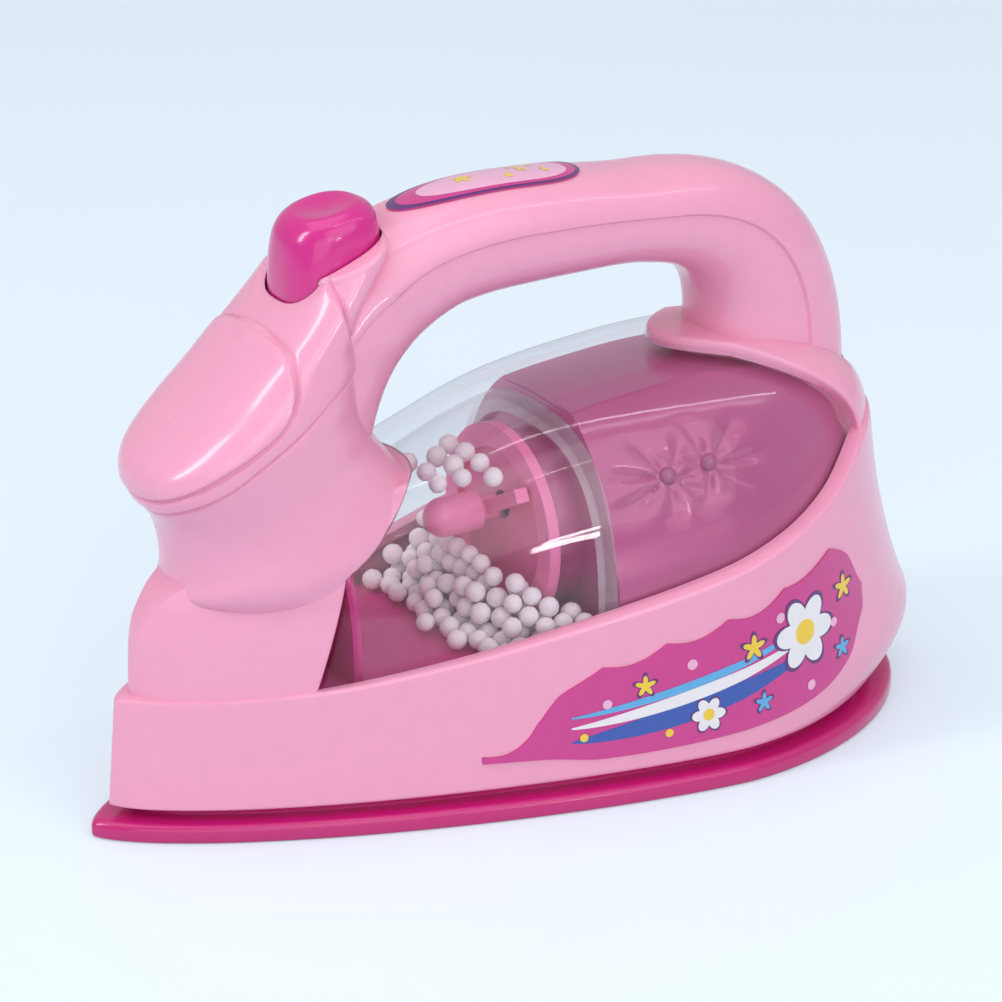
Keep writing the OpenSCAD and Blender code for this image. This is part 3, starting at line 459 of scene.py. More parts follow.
def cut(mesh, tools, name):
    """The mesh less a list of closed meshes, by exact booleans."""
    obj = placed(name, mesh)
    made = []
    for i, tool in enumerate(tools):
        made.append(placed(name + "_tool%d" % i, tool))
        mod = obj.modifiers.new("cut%d" % i, "BOOLEAN")
        mod.operation, mod.solver, mod.object = "DIFFERENCE", "EXACT", made[i]
    bpy.context.view_layer.update()
    got = bpy.data.meshes.new_from_object(obj.evaluated_get(bpy.context.evaluated_depsgraph_get()))
    for o in made + [obj]:
        bpy.data.objects.remove(o)
    return got


def circle_y(x, y, z, r, count=40):
    """A ring of points about a line along Y."""
    a = turn(count)
    return np.stack([x + r * np.cos(a), np.full(count, float(y)), z + r * np.sin(a)], -1)


def circle_z(x, y, z, r, count):
    """A ring of points about a line along Z."""
    a = turn(count)
    return np.stack([x + r * np.cos(a), y + r * np.sin(a), np.full(count, float(z))], -1)


def joined(meshes, side, name, gap=.008):
    """The parts of closed meshes on one side of the middle plane, as one mesh."""
    out = bmesh.new()
    for me in meshes:
        bm = bmesh.new()
        bm.from_mesh(me)
        bmesh.ops.bisect_plane(bm, geom=bm.verts[:] + bm.edges[:] + bm.faces[:],
                               plane_co=(0, side * gap * MM, 0), plane_no=(0, -side, 0), clear_outer=True)
        part = bpy.data.meshes.new("part")
        bm.to_mesh(part)
        bm.free()
        out.from_mesh(part)
        bpy.data.meshes.remove(part)
    for f in out.faces:
        f.material_index = 0
    me = bpy.data.meshes.new(name)
    out.to_mesh(me)
    out.free()
    return smoothed(me, 34)


# Materials
def nodes_of(name):
    m = bpy.data.materials.new(name)
    m.use_nodes = True
    m.node_tree.nodes.clear()
    return m, m.node_tree


def add(t, kind, **sockets):
    n = t.nodes.new("ShaderNode" + kind)
    for k, v in sockets.items():
        n.inputs[k.replace("_", " ")].default_value = v
    return n


def surface(t, shader):
    out = add(t, "OutputMaterial")
    t.links.new(shader, out.inputs["Surface"])


def sums(t, operation, first, *others):
    """A math node. Its other inputs are numbers or sockets."""
    n = add(t, "Math")
    n.operation = operation
    t.links.new(first, n.inputs[0])
    for i, other in enumerate(others, 1):
        if isinstance(other, bpy.types.NodeSocket):
            t.links.new(other, n.inputs[i])
        else:
            n.inputs[i].default_value = other
    return n.outputs[0]


def textured(t, kind, **sockets):
    co = add(t, "TexCoord")
    n = add(t, kind, **sockets)
    t.links.new(co.outputs["Object"], n.inputs["Vector"])
    return n


def noise(t, scale, detail):
    return textured(t, "TexNoise", Scale=scale, Detail=detail).outputs["Fac"]


def ramp(t, source, stops):
    r = add(t, "ValToRGB")
    for el, (place, c) in zip(r.color_ramp.elements, stops):
        el.position, el.color = place, (*c, 1)
    t.links.new(source, r.inputs["Fac"])
    return r.outputs["Color"]


def remap(t, source, lo, hi):
    """The middle of a noise spread over a range."""
    r = add(t, "MapRange", From_Min=.3, From_Max=.7, To_Min=lo, To_Max=hi)
    t.links.new(source, r.inputs["Value"])
    return r.outputs["Result"]


def bumped(t, shader, height, strength):
    bp = add(t, "Bump", Strength=strength, Distance=.0002)
    t.links.new(height, bp.inputs["Height"])
    t.links.new(bp.outputs["Normal"], shader.inputs["Normal"])
    return bp


def shade(c, k):
    return tuple(min(1.0, x * k) for x in c)


def clouded(t, source, colour, vary):
    return ramp(t, source, [(.3, shade(colour, 1 - vary)), (.7, shade(colour, 1 + vary))])


def plastic(name, colour, rough=.3, vary=.012, coat=0.0, bump=.012, grain=900, metal=0.0, bevel=0.0):
    """Moulded plastic or metal: cloudy colour, patchy gloss and a fine grain."""
    m, t = nodes_of(name)
    b = add(t, "BsdfPrincipled", Metallic=metal, IOR=1.5, Coat_Weight=coat, Coat_Roughness=.06)
    t.links.new(clouded(t, noise(t, 300, 2), colour, vary), b.inputs["Base Color"])
    t.links.new(remap(t, noise(t, 240, 2), rough * .95, rough * 1.06), b.inputs["Roughness"])
    bp = bumped(t, b, noise(t, grain, 2), bump)
    if bevel:
        bv = add(t, "Bevel", Radius=bevel)
        bv.samples = 4
        t.links.new(bv.outputs["Normal"], bp.inputs["Normal"])
    surface(t, b.outputs["BSDF"])
    return m


def mixed(t, share, first, second):
    """A mix of two shaders. The share is a number or a socket."""
    mix = add(t, "MixShader")
    if isinstance(share, bpy.types.NodeSocket):
        t.links.new(share, mix.inputs[0])
    else:
        mix.inputs[0].default_value = share
    t.links.new(first, mix.inputs[1])
    t.links.new(second, mix.inputs[2])
    return mix.outputs["Shader"]


def clear(name, tint, low, high=.75, rough=.03, haze=.02):
    """Clear plastic as a thin wall, which mirrors at a slant and holds a trace of haze."""
    m, t = nodes_of(name)
    slant = add(t, "LayerWeight", Blend=.5).outputs["Facing"]
    mirror = sums(t, "MULTIPLY_ADD", sums(t, "POWER", slant, 4.5), high, low)
    through = add(t, "BsdfTransparent")
    gloss = add(t, "BsdfGlossy")
    marks = noise(t, 120, 5)
    t.links.new(ramp(t, marks, [(.3, shade(tint, .985)), (.7, tint)]), through.inputs["Color"])
    t.links.new(remap(t, marks, rough * .6, rough * 1.8), gloss.inputs["Roughness"])
    wall = mixed(t, mirror, through.outputs["BSDF"], gloss.outputs["BSDF"])
    milk = add(t, "BsdfDiffuse", Color=(.93, .90, .94, 1))
    surface(t, mixed(t, haze, wall, milk.outputs["BSDF"]))
    return m


def pearl(name, colour, glow, coat, ior=1.5):
    """Pearly lacquer: its own colour, paling at a slant to glow, a painted sheen, with a fine sparkle of
    flakes.
    """
    m, t = nodes_of(name)
    b = add(t, "BsdfPrincipled", Metallic=.2, IOR=ior, Coat_Weight=coat, Coat_Roughness=.13)
    flakes = textured(t, "TexVoronoi", Scale=3400.0).outputs["Color"]
    # Painted sheen: the base colour turns to the glow colour at a slant
    mix = add(t, "Mix")
    mix.data_type = "RGBA"
    t.links.new(add(t, "LayerWeight", Blend=.45).outputs["Facing"], mix.inputs["Factor"])
    t.links.new(clouded(t, noise(t, 40, 4), colour, .03), mix.inputs["A"])
    mix.inputs["B"].default_value = (*glow, 1)
    t.links.new(mix.outputs["Result"], b.inputs["Base Color"])
    t.links.new(ramp(t, flakes, [(.15, (.325,) * 3), (.85, (.345,) * 3)]), b.inputs["Roughness"])
    bumped(t, b, flakes, .015)
    surface(t, b.outputs["BSDF"])
    return m


def foam(name, colour):
    """Expanded foam: pale cells with soft edges."""
    m, t = nodes_of(name)
    b = add(t, "BsdfPrincipled", IOR=1.4, Roughness=.75, Subsurface_Weight=.15,
            Subsurface_Radius=(.0015, .001, .0012), Subsurface_Scale=1.0)
    cells = textured(t, "TexVoronoi", Scale=1500.0).outputs["Distance"]
    t.links.new(ramp(t, cells, [(0, colour), (.9, shade(colour, .93))]), b.inputs["Base Color"])
    bumped(t, b, cells, .25).invert = True
    surface(t, b.outputs["BSDF"])
    return m


m_pink = plastic("pink_plastic", (.91, .375, .55), rough=.24, coat=.35, bevel=.0003)
m_magenta = plastic("magenta_plastic", (.67, .016, .25), rough=.22, coat=.4, bevel=.0004)
m_sole = plastic("sole_plastic", (.57, .010, .175), rough=.24, coat=.3, bevel=.0004)
m_rotor = plastic("rotor_plastic", (.95, .25, .50), rough=.42, bevel=.0003)
m_clear = clear("clear_cover_plastic", (.985, .98, .99), low=.03, haze=.006)
m_inner = clear("clear_chamber_plastic", (.99, .985, .99), low=.03, high=.5, rough=.05, haze=.012)
m_lip = clear("clear_flange_plastic", (.985, .975, .985), low=.08, high=.5, rough=.08, haze=.3)
# Each pearl's first colour is its own; the second is its painted sheen at a slant
m_pearl = pearl("pearl_lacquer", (.46, .062, .215), (.68, .21, .42), coat=.8)
m_tray = pearl("tray_lacquer", (.60, .030, .22), (.74, .08, .33), coat=0, ior=1.15)
m_foam = foam("bead_foam", (.99, .91, .945))
m_steel = plastic("bright_steel", (.66, .66, .68), rough=.42, metal=1.0, bump=.05, grain=1500)
m_dark = plastic("dark_plastic", (.035, .035, .042), rough=.45)
m_board = plastic("board_resist", (.02, .16, .07), rough=.35)
m_cell = plastic("cell_wrap", (.05, .05, .07), rough=.35, coat=.3)
m_lamp = plastic("lamp_resin", (.36, .07, .20), rough=.16, coat=.5)
INKS = {"magenta": (.62, .03, .26), "violet": (.10, .015, .16), "white": (.86, .84, .87),
        "yellow": (.90, .62, .03), "sky": (.10, .42, .78), "blue": (.02, .08, .42), "rose": (.90, .45, .66)}
INK = {k: i for i, k in enumerate(INKS)}
film = [plastic("film_" + k, c, rough=.22, coat=.5, vary=.02) for k, c in INKS.items()]


# Housing halves
TURN = turn(240)
QUARTER = np.linspace(0, math.pi / 2, 6)
LINES = np.concatenate([[-.5, -.25], np.linspace(0, .94, 15), [.97, 1.0, 1.04], np.linspace(1.1, 2, 10)])


def skirt_wall():
    """The skirt as a closed band, with rounded edges and a lip that carries the window."""
    rows = [skirt_pt(TURN, v, inset) for v, inset in ((0, .6), (.003, .18), (.012, .03))]
    rows += [skirt_pt(TURN, v) for v in np.linspace(.025, .34, 24)]
    rows += [skirt_pt(TURN, v) for v in np.linspace(.36, .975, 26)]
    rows += [skirt_pt(TURN, v, inset) for v, inset in ((.988, .06), (.997, .28), (1, .7))]
    x, y = plan(TURN, DOME_TIP + LIP_LAP, DOME_HEEL - LIP_LAP, DOME_W - LIP_LAP, BLOCK_ROUND)
    rows += [np.stack([x, y, rim_z(x) - drop], -1) for drop in (0, LIP_T)]
    rows += [skirt_pt(TURN, 1.0, WALL) - np.array([0, 0, LIP_T])]
    rows += [skirt_pt(TURN, v, WALL) for v in np.linspace(.9, 0, 10)]
    return outward(Shell().grid(rows, wrap_u=True, wrap_v=True).mesh("skirt"))


def domed(front, rear, inset, stops):
    """A solid under the dome between two edges. A stop is (share of the length, step back, extra inset)."""
    rings = [both_sides(arch(front + (rear - front) * t + dx, LINES, inset + di)) for t, dx, di in stops]
    return loft(np.array(rings), "dome")


def front_block(rear):
    stops = [(t, .05 * (1 - t), 0) for t in 1 - np.cos(np.linspace(0, math.pi / 2, 40)[:-1])]
    stops = [s for s in stops if s[0] < .96]
    stops += [(1, -BLOCK_EDGE + BLOCK_EDGE * math.sin(k), BLOCK_EDGE * (1 - math.cos(k))) for k in QUARTER]
    return domed(np.full(LINES.shape, DOME_TIP), rear, 0, stops)


def rear_deck():
    """The collar behind the window, which carries the rear leg of the handle."""
    front = solve_x(LINES, -COLLAR_RISE, lambda p: collar_x(p[..., 1]), 10, DOME_HEEL + 1.0)
    stops = [(0, 0, 2.2)]
    stops += [(0, COLLAR_EDGE - COLLAR_EDGE * math.sin(k), COLLAR_EDGE * (1 - math.cos(k)))
              for k in QUARTER[::-1]]
    stops += [(t, COLLAR_EDGE * (1 - t), 0) for t in np.sin(np.linspace(0, math.pi / 2, 30))[1:]]
    return domed(front, np.full(LINES.shape, DOME_HEEL + 1.05), -COLLAR_RISE, stops)


def sided(rings):
    """Normals of a grid of closed rings, turned outward."""
    n = unit(np.cross(np.gradient(rings, axis=0), np.roll(rings, -1, 1) - np.roll(rings, 1, 1)))
    return n * np.sign((n * (rings - rings.mean(1, keepdims=True))).sum(-1).mean())


def off_button(pts, near, far):
    """0 at the button's opening and 1 away from it. near and far are shares of the opening's size."""
    d = np.abs((pts - SEAT)[..., :2] / OPENING) ** BUTTON_POW
    return smooth(near, far, d.sum(-1) ** (1 / BUTTON_POW) - 1)


def eased(pts, n, other, reach=11.0):
    """Points swelled towards a surface that they meet, as a fillet beside the button."""
    faces = [tuple(f.vertices) for f in other.polygons]
    tree = BVHTree.FromPolygons([tuple(v.co) for v in other.vertices], faces)
    z = pts[..., 2]
    share = smooth(*EASE_LOW, z) * smooth(*EASE_HIGH, z) * off_button(pts, .04, .45)
    far = np.full(pts.shape[:2], reach)
    for i, j in zip(*np.nonzero(share > 0)):
        here = Vector(pts[i, j] * MM)
        at, facing, _, gap = tree.find_nearest(here, reach * MM)
        if at is not None:
            inside = (here - at).dot(facing) < 0
            far[i, j] = 0 if inside else gap / MM
    return pts + n * (reach / 4 * share * (1 - far / reach) ** 2)[..., None]


def edge_gap(p, q, e):
    """Signed distance in side view to a drawn edge, positive on its front side."""
    best = np.full(p.shape, 1e9)
    sign = np.ones(p.shape)
    e = np.concatenate([e[:1] + (e[:1] - e[1:2]) * 9, e, e[-1:] + (e[-1:] - e[-2:-1]) * 9])
    for (p0, q0), (p1, q1) in zip(e[:-1], e[1:]):
        dx, dy = p1 - p0, q1 - q0
        t = np.clip(((p - p0) * dx + (q - q0) * dy) / (dx * dx + dy * dy), 0, 1)
        d = np.hypot(p - p0 - t * dx, q - q0 - t * dy)
        side = np.where((p - p0) * dy - (q - q0) * dx > 0, 1.0, -1.0)
        sign = np.where(d < best, side, sign)
        best = np.minimum(d, best)
    return best * sign


def head_grid():
    """The head's skin: its sections, a rounded top edge, and the steps of visor and brow."""
    table = np.array(HEAD)
    start = table[0, 0]
    rounding = HEAD_EDGE / HEAD_H
    q = np.concatenate([np.linspace(start, .3, 40)[:-1], np.linspace(.3, 1 - rounding, 150)])
    front, back, wide = (curve(table[:, [0, k]], q) for k in (1, 2, 3))
    edge = QUARTER[1:]
    inset = np.concatenate([0 * q, HEAD_EDGE * (1 - np.cos(edge))])[:, None]
    q = np.concatenate([q, 1 - rounding * (1 - np.sin(edge))])[:, None]
    front, back, wide = (np.append(c, [c[-1]] * len(edge))[:, None] for c in (front, back, wide))
    front, back, wide = front * HEAD_HALF + inset, back * HEAD_HALF - inset, wide * HEAD_HALF_W - inset
    a = turn(400)[None]
    p = (front + back) / 2 + (back - front) / 2 * power(np.cos(a), HEAD_POW)
    q = np.broadcast_to(q * HEAD_H, p.shape)
    pts = head_place(p, wide * power(np.sin(a), HEAD_POW), q)
    n = sided(pts)
    shown = off_button(pts, .01, .16)
    for drawn in (VISOR, BROW):
        k = np.arange(len(drawn))
        fine = np.linspace(0, k[-1], 8 * len(drawn))
        line = [curve(np.stack([k, np.array(drawn)[:, c]], -1), fine) for c in (0, 1)]
        d = edge_gap(p, q, np.stack(line, -1) * np.array([HEAD_HALF, HEAD_H]))
        step = BROW_STEP * smooth(-.22, .22, d) - BROW_GROOVE * np.exp(-((d + .32) / .34) ** 2)
        pts = pts + n * (step * shown)[..., None]
    return pts


def lifted(p, inset, low, high):
    """Points under the dome brought up to it, so that nothing shows in the window."""
    x, y, z = np.moveaxis(p, -1, 0)
    over = low + (high - low) * smooth(-2, 1, x - block_x(z))
    return np.stack([x, y, np.maximum(z, dome_z(x, y, inset) + over)], -1)


def handle_grid():
    """The grip's skin, with fine rows at the split line on each side."""
    split = math.asin(GRIP_SPLIT)
    fine = np.linspace(-.02, .02, 5)
    a = np.concatenate([np.linspace(split + .03, math.pi - split - .03, 40), math.pi - split + fine,
                        np.linspace(math.pi - split + .03, 2 * math.pi + split - .03, 44), split + fine])
    s = np.concatenate([np.linspace(0, 3.1, 150), np.linspace(3.12, GRIP_ENDS, 26)])
    return lifted(grip_pt(s[:, None], a[None]), -COLLAR_RISE, -1.5, -1.5)


def opening_tool():
    """The room of the push button, as a solid to cut away."""
    a = TURN[::4]
    x, y = OPENING[0] * power(np.cos(a), BUTTON_POW), OPENING[1] * power(np.sin(a), BUTTON_POW)
    return loft(np.array([SEAT + np.stack([x, y, 0 * a + z], -1) for z in (-10, 14)]), "opening")


def screw_bore(place):
    x, z = place[0] * HALF, place[1] * HIGH
    return loft(np.array([circle_y(x, y, z, SCREW_BORE) for y in (2.5, 60)]), "bore")


x_block = solve_x(LINES, 0, lambda p: block_x(p[..., 2]), -66, -20)
bores = [screw_bore(place) for place in BOSSES]
brow = lifted(head_grid(), 0, -.6, .3)
grip = handle_grid()
grip = eased(grip, sided(grip), loft(brow, "brow"))
moulding = [
    cut(skirt_wall(), [bores[4]], "skirt"),
    cut(front_block(x_block), [bores[3]], "block"),
    rear_deck(),
    cut(loft(brow, "head"), [opening_tool(), bores[0]], "head"),
    cut(loft(grip, "handle"), [opening_tool(), bores[1], bores[2]], "handle")]
for side, name in ((-1, "housing_left"), (1, "housing_right")):
    put(name + "_shell", joined(moulding, side, name), [m_pink], node=name)


# Clear cover
cover_front = x_block + COVER_FRONT_GAP
cover_rear = solve_x(LINES, 0, lambda p: collar_x(p[..., 1]) - COVER_REAR_GAP, 10, DOME_HEEL - .05)


def cover_line(share, inset=0.0):
    """A ring over the cover between its front edge, 0, and its rear edge, 1."""
    return both_sides(arch(cover_front + (cover_rear - cover_front) * share, LINES, inset))


sh = Shell().grid([cover_line(share) for share in np.linspace(0, 1, 60)])
for end, folds in ((0, (1, .5, 0)), (1, (0, .5, 1))):
    sh.grid([cover_line(end, CLEAR_T * f) for f in folds])
put("clear_cover_shell", sh.mesh("clear_cover", angle=50), [m_clear], node="clear_cover")


# Bead chamber
def chamber_top(x):
    return FLOOR_Z + (ridge_z(x) - CLEAR_T - COVER_GAP - FLOOR_Z) * CHAMBER_SHARE


def chamber(x, angle, inset):
    x, angle = spread(x, angle)
    half = dome_half(x, CLEAR_T + COVER_GAP) - inset
    low = np.maximum(FLOOR_Z + LINER_T + SEAT_GAP, rim_z(x) - SINK)
    rise = chamber_top(x) - inset - low
    across, up = power(np.cos(angle), ARCH_POW), power(np.sin(angle), ARCH_POW)
    return np.stack([x, half * across, low + rise * up], -1)


half_turn = np.linspace(0, math.pi, 72)
out = chamber(np.linspace(CHAMBER_FRONT, CHAMBER_REAR, 50)[:, None], half_turn[None], 0)
box = Shell().grid(out).grid([chamber(CHAMBER_FRONT, half_turn, CLEAR_T), out[0]])
flange_front = CHAMBER_REAR - CLEAR_T
flange = [(CHAMBER_REAR, .4), (CHAMBER_REAR, CLEAR_T + FLANGE_W), (flange_front, CLEAR_T + FLANGE_W),
          (flange_front, CLEAR_T)]
box.grid([out[-1]] + [chamber(x, half_turn, inset) for x, inset in flange], mat=1)
put("bead_chamber_shell", box.mesh("bead_chamber", angle=50), [m_inner, m_lip], node="bead_chamber")


# Liner
def led_flutes(vault):
    """Depth of the dishes round the two LEDs: flutes that fan out from each hole."""
    drop = np.zeros(vault.shape[:2])
    for x in LED_X:
        d = vault - arch(x, LED_AT / LEAN, LINER_IN + LINER_T / 2) * np.array([1, -1, 1])
        r = np.linalg.norm(d, axis=-1)
        wide = np.linalg.norm(d * np.array([.55, 1, 1]), axis=-1)
        flute = .5 + .5 * np.cos(FLUTES * np.arctan2(d[..., 2] * 1.6, d[..., 0]) + x)
        dish = (.15 + 1.05 * flute ** 1.5) * smooth(9.5, 1.5, wide) * smooth(1.2, 3.2, r)
        drop = np.maximum(drop, dish + .45 * smooth(3, 1.4, r))
    return drop


def liner_vault(sh, h):
    """The pearly vault behind the chamber, with a flared foot."""
    xs = np.linspace(LINER_FRONT, LINER_REAR, 200)
    outer = np.array([both_sides(arch(x, h, LINER_IN - LINER_FLARE * smooth(.3, .02, h))) for x in xs])
    inner = np.array([both_sides(arch(x, h, LINER_IN + LINER_T)) for x in xs])
    n = unit(np.cross(np.gradient(outer, axis=0), np.gradient(outer, axis=1)))
    n *= np.where(n[..., 2:].mean() > 0, 1, -1)
    sh.grid(outer - n * led_flutes(outer)[..., None]).grid(inner, flip=True)
    for end in (0, -1):
        sh.grid([outer[end], inner[end]])


def liner_floor(sh, count=40):
    """The tray under the beads."""
    x = np.linspace(FLOOR_FRONT, FLOOR_REAR, count)
    y = dome_half(x, CLEAR_T + COVER_GAP - SEAT_GAP)
    low, high = (np.stack([np.stack([x, k * y, np.full(count, z)], -1) for k in np.linspace(-1, 1, 12)], 1)
                 for z in (FLOOR_Z, FLOOR_Z + LINER_T))
    sh.grid(high, flip=True, mat=1).grid(low, mat=1)
    sh.grid([np.concatenate([plate[:, 0], plate[::-1, -1]]) for plate in (low, high)], wrap_v=True, mat=1)


def liner_wall(sh, ring, mat):
    """An upright wall that stands on the tray."""
    x, foot = ring[0, 0], FLOOR_Z + LINER_T / 2
    ring = np.concatenate([[[x, ring[0, 1], foot]], ring, [[x, ring[-1, 1], foot]]])
    back = ring + np.array([LINER_T, 0, 0])
    sh.cap(ring, mat=mat).cap(back, flip=True, mat=mat).grid([ring, back], wrap_v=True, mat=mat)


def disc_seat(sh, count=90):
    """The round seat of the face disc."""
    a = turn(count)
    profile = [(LINER_FRONT, 0), (.5, 0), (.15, .15), (0, .5), (0, LINER_T), (LINER_FRONT, LINER_T)]
    rings = []
    for x, inset in profile:
        r = DISC_SEAT_R - inset
        rings.append(np.stack([np.full(count, x), r * np.cos(a), DISC_Z + r * np.sin(a)], -1))
    sh.grid(rings, wrap_v=True)


h_side = np.concatenate([np.linspace(0, 1, 90), np.linspace(1, 2, 30)[1:]])
sh = Shell()
liner_vault(sh, np.concatenate([np.linspace(-.4, 0, 4)[:-1], h_side]))
liner_floor(sh)
liner_wall(sh, chamber(CHAMBER_FRONT, np.linspace(0, math.pi, 60), CLEAR_T + SEAT_GAP), 1)
liner_wall(sh, both_sides(arch(LINER_WALL, h_side, LINER_IN + LINER_T / 2)), 0)
disc_seat(sh)
put("liner_moulding", sh.mesh("liner", angle=42), [m_pearl, m_tray], node="liner")


# Foam beads. Those that start at CLING height are brought down to the chamber's roof
CLING = 60
LOOSE = [[-11.9, -2.1, 24.6], [-8.5, -6.2, 24.6], [-6.3, -13, 24.6]]
LOOSE += [[x, y, CLING] for x, y in (
    (-7.9, 5.8), (-11.2, 4.0), (-7.8, .6), (-11.0, -1.2), (-7.9, -4.4), (-11.8, -5.4), (-8.0, -8.8),
    (-15.2, -3.4), (-14.6, 1.4), (-14.2, 8.6), (-17.8, 6.2), (-19.5, 11.0))]
HUB_ROOM = HUB_R + BEAD_R + RUN_GAP
rng = np.random.default_rng(7)
bead_sizes = BEAD_R * rng.uniform(.86, 1.02, BEADS + len(LOOSE))


def contained(p):
    """Beads kept in the chamber, clear of the stirrer's sweep, the face disc and the hub."""
    x, y, z = p.T
    from_axis, from_disc = np.hypot(y, z - AXIS_Z), np.hypot(y, z - DISC_Z)
    rear = np.where(from_disc < DISC_ROOM_R, DISC_FRONT, BEAD_REAR)
    x = np.clip(x, BEAD_FRONT, np.where(from_axis < SWEEP_R, SWEEP_FRONT, rear))
    half = dome_half(x, CLEAR_T + COVER_GAP) - CLEAR_T - BEAD_R - .25
    y = np.clip(y, -half, half)
    top = chamber_top(x) - CLEAR_T - BEAD_R - .3
    low = FLOOR_Z + LINER_T
    out = np.clip(np.abs(y) / (half + 1), 0, .97)
    roof = low + (top - low) * (1 - out ** ARCH_POW) ** (1 / ARCH_POW)
    z = np.clip(z, low + BEAD_R + .15, np.maximum(roof, low + BEAD_R + .2))
    r = np.hypot(y, z - AXIS_Z) + 1e-6
    k = np.where((x > HUB_FRONT - BEAD_R) & (r < HUB_ROOM), HUB_ROOM / r, 1)
    return np.stack([x, y * k, AXIS_Z + (z - AXIS_Z) * k], -1)


def apart(p):
    """Beads that overlap are pushed apart and kept in the chamber."""
    size = bead_sizes[:len(p)]
    for _ in range(2):
        d = p[:, None] - p[None]
        r = np.linalg.norm(d, axis=-1) + np.eye(len(p)) * 9
        over = np.maximum((size[:, None] + size[None]) * 1.01 - r, 0)
        p = contained(p + (d / r[..., None] * over[..., None]).sum(1) * .34)
    return p


def settle(count, steps=420, calm=80):
    """A heap of beads drawn down and towards the disc, gently in the last steps."""
    p = np.stack([rng.uniform(-20, -5, count), rng.uniform(-20, 20, count), rng.uniform(26, 44, count)], -1)
    pull = np.array([.95, .1, -1.0]) * .09
    for k in range(steps):
        p = apart(p + pull * (1.0 if k < steps - calm else .15))
    return p


def bead(bm, centre, size):
    """One bead: a ball a little out of round, with three shallow dents."""
    made = bmesh.ops.create_icosphere(bm, subdivisions=2, radius=size * MM)["verts"]
    stretch = rng.uniform(.96, 1.0, 3)
    dents = [Vector(d).normalized() for d in rng.normal(0, 1, (3, 3))]
    for v in made:
        n = v.co.normalized()
        dent = 1 - .03 * sum(max(0.0, n.dot(d) - .8) for d in dents)
        v.co = Vector([c * k * dent + o * MM for c, k, o in zip(v.co, stretch, centre)])


heap = np.concatenate([settle(BEADS), contained(np.array(LOOSE))])
for _ in range(40):
    heap = apart(heap)
bm = bmesh.new()
for centre, size in zip(heap, bead_sizes):
    bead(bm, centre, size)
me = bpy.data.meshes.new("foam_beads")
bm.to_mesh(me)
bm.free()
me.shade_smooth()
put("foam_bead_heap", me, [m_foam], node="foam_beads")

# Push button. A row is (place along the profile, height, inset, share of the head's tilt)
BUTTON_ROWS = np.array([
    [0, -4, 0, 1], [1, -1.5, 0, 1], [2, 2.3, .2, .82], [3, 4.4, .5, .66], [3.6, 5.5, 1.05, .56],
    [4.2, 6.3, 1.9, .5], [5, 6.95, 3.2, .5], [6, 6.85, 4.9, .5], [7, 6.6, 6.5, .5], [8, 6.5, 8.0, .5]])
STEM = [(-3, 4.2), (-6.2, 4.2), (-6.2, 2.5), (-9.8, 2.5), (-10, 2.3)]
t = np.linspace(0, BUTTON_ROWS[-1, 0], 56)
up, inset, slope = (curve(BUTTON_ROWS[:, [0, k]], t)[:, None] for k in (1, 2, 3))
a = turn(120)[None]
bend = BUTTON_POW - .5 * smooth(0, 6, up)
x = (BUTTON_L / 2 - inset) * power(np.cos(a), bend)
y = (BUTTON_W / 2 - inset) * power(np.sin(a), bend)
rings = SEAT + np.stack([x, y, up + x * math.tan(TILT) * slope], -1)
stem = [SEAT + circle_z(0, 0, z, r, 40) for z, r in STEM]
sh = Shell().grid(rings, wrap_v=True).cap(rings[0]).cap(rings[-1], flip=True)
sh.grid(stem, wrap_v=True).cap(stem[-1])
put("button_cap", outward(sh.mesh("button")), [m_magenta], node="button",
    body="push_button")

# Return spring, a steel coil that fills the box of the frame's spring
low, high = (np.array(c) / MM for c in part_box("button_spring"))
mid = (low + high) / 2
coil_r = (high[0] - low[0] - SPRING_WIRE) / 2
long = high[2] - low[2]
a = np.linspace(0, 2 * math.pi * SPRING_TURNS, 40 * SPRING_TURNS)
z = low[2] + SPRING_WIRE / 2 + (long - SPRING_WIRE) * smooth(.08, .92, a / a[-1])
middle = np.stack([mid[0] + 0 * a, mid[1] + 0 * a, z], -1)[:, None]
out = np.stack([np.cos(a), np.sin(a), 0 * a], -1)[:, None]
ring = turn(12)[None, :, None]
wire = middle + out * (coil_r + SPRING_WIRE / 2 * np.cos(ring))
wire = wire + np.array([0, 0, 1]) * SPRING_WIRE / 2 * np.sin(ring)
spring = put("button_return_spring", loft(wire, "button_spring"), [m_steel], node="button_spring")
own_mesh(spring)

# Sole plate. An edge is (inset, height)
SOLE_EDGE = [(.6, 0), (.3, .06), (.08, .25), (0, .6), (0, 1.9), (.1, 2.4), (.4, 2.8), (.9, 2.98),
             (1.5, SOLE_T)]
UPSTAND = [(0, SOLE_T), (0, UPSTAND_TOP), (UPSTAND_T, UPSTAND_TOP), (UPSTAND_T, SOLE_T)]
UPSTAND_IN = OVERHANG + WALL + RUN_GAP
UPSTAND_HEEL = HALF * HEEL_ROLL[0][1] - WALL - RUN_GAP
DOOR_DEEP = 2.1
DOOR_CORNER = 3.3
SCREW_DEEP = 1.8


def sole_ring(inset, heel, z):
    x, y = plan(TURN, -HALF + inset * TIP_SHARE, heel, WIDE / 2 - inset, TIP_ROUND)
    return np.stack([x, y, np.full(x.shape, float(z))], -1)


def rounded(mid_x, half_l, half_w, r, z):
    """A rectangle with round corners, about a point on the middle line."""
    ring = []
    for sx, sy, start in ((1, 1, 0), (-1, 1, 90), (-1, -1, 180), (1, -1, 270)):
        x, y = mid_x + sx * (half_l - r), sy * (half_w - r)
        for k in np.radians(np.linspace(start, start + 90, 10)):
            ring.append([x + r * math.cos(k), y + r * math.sin(k), z])
    return np.array(ring)


def door_room():
    low, high = (np.array(c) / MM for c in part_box("battery_door"))
    mid, half = (low + high) / 2, (high - low) / 2 + RUN_GAP
    return [rounded(mid[0], half[0], half[1], DOOR_CORNER, z) for z in (0, DOOR_DEEP)]


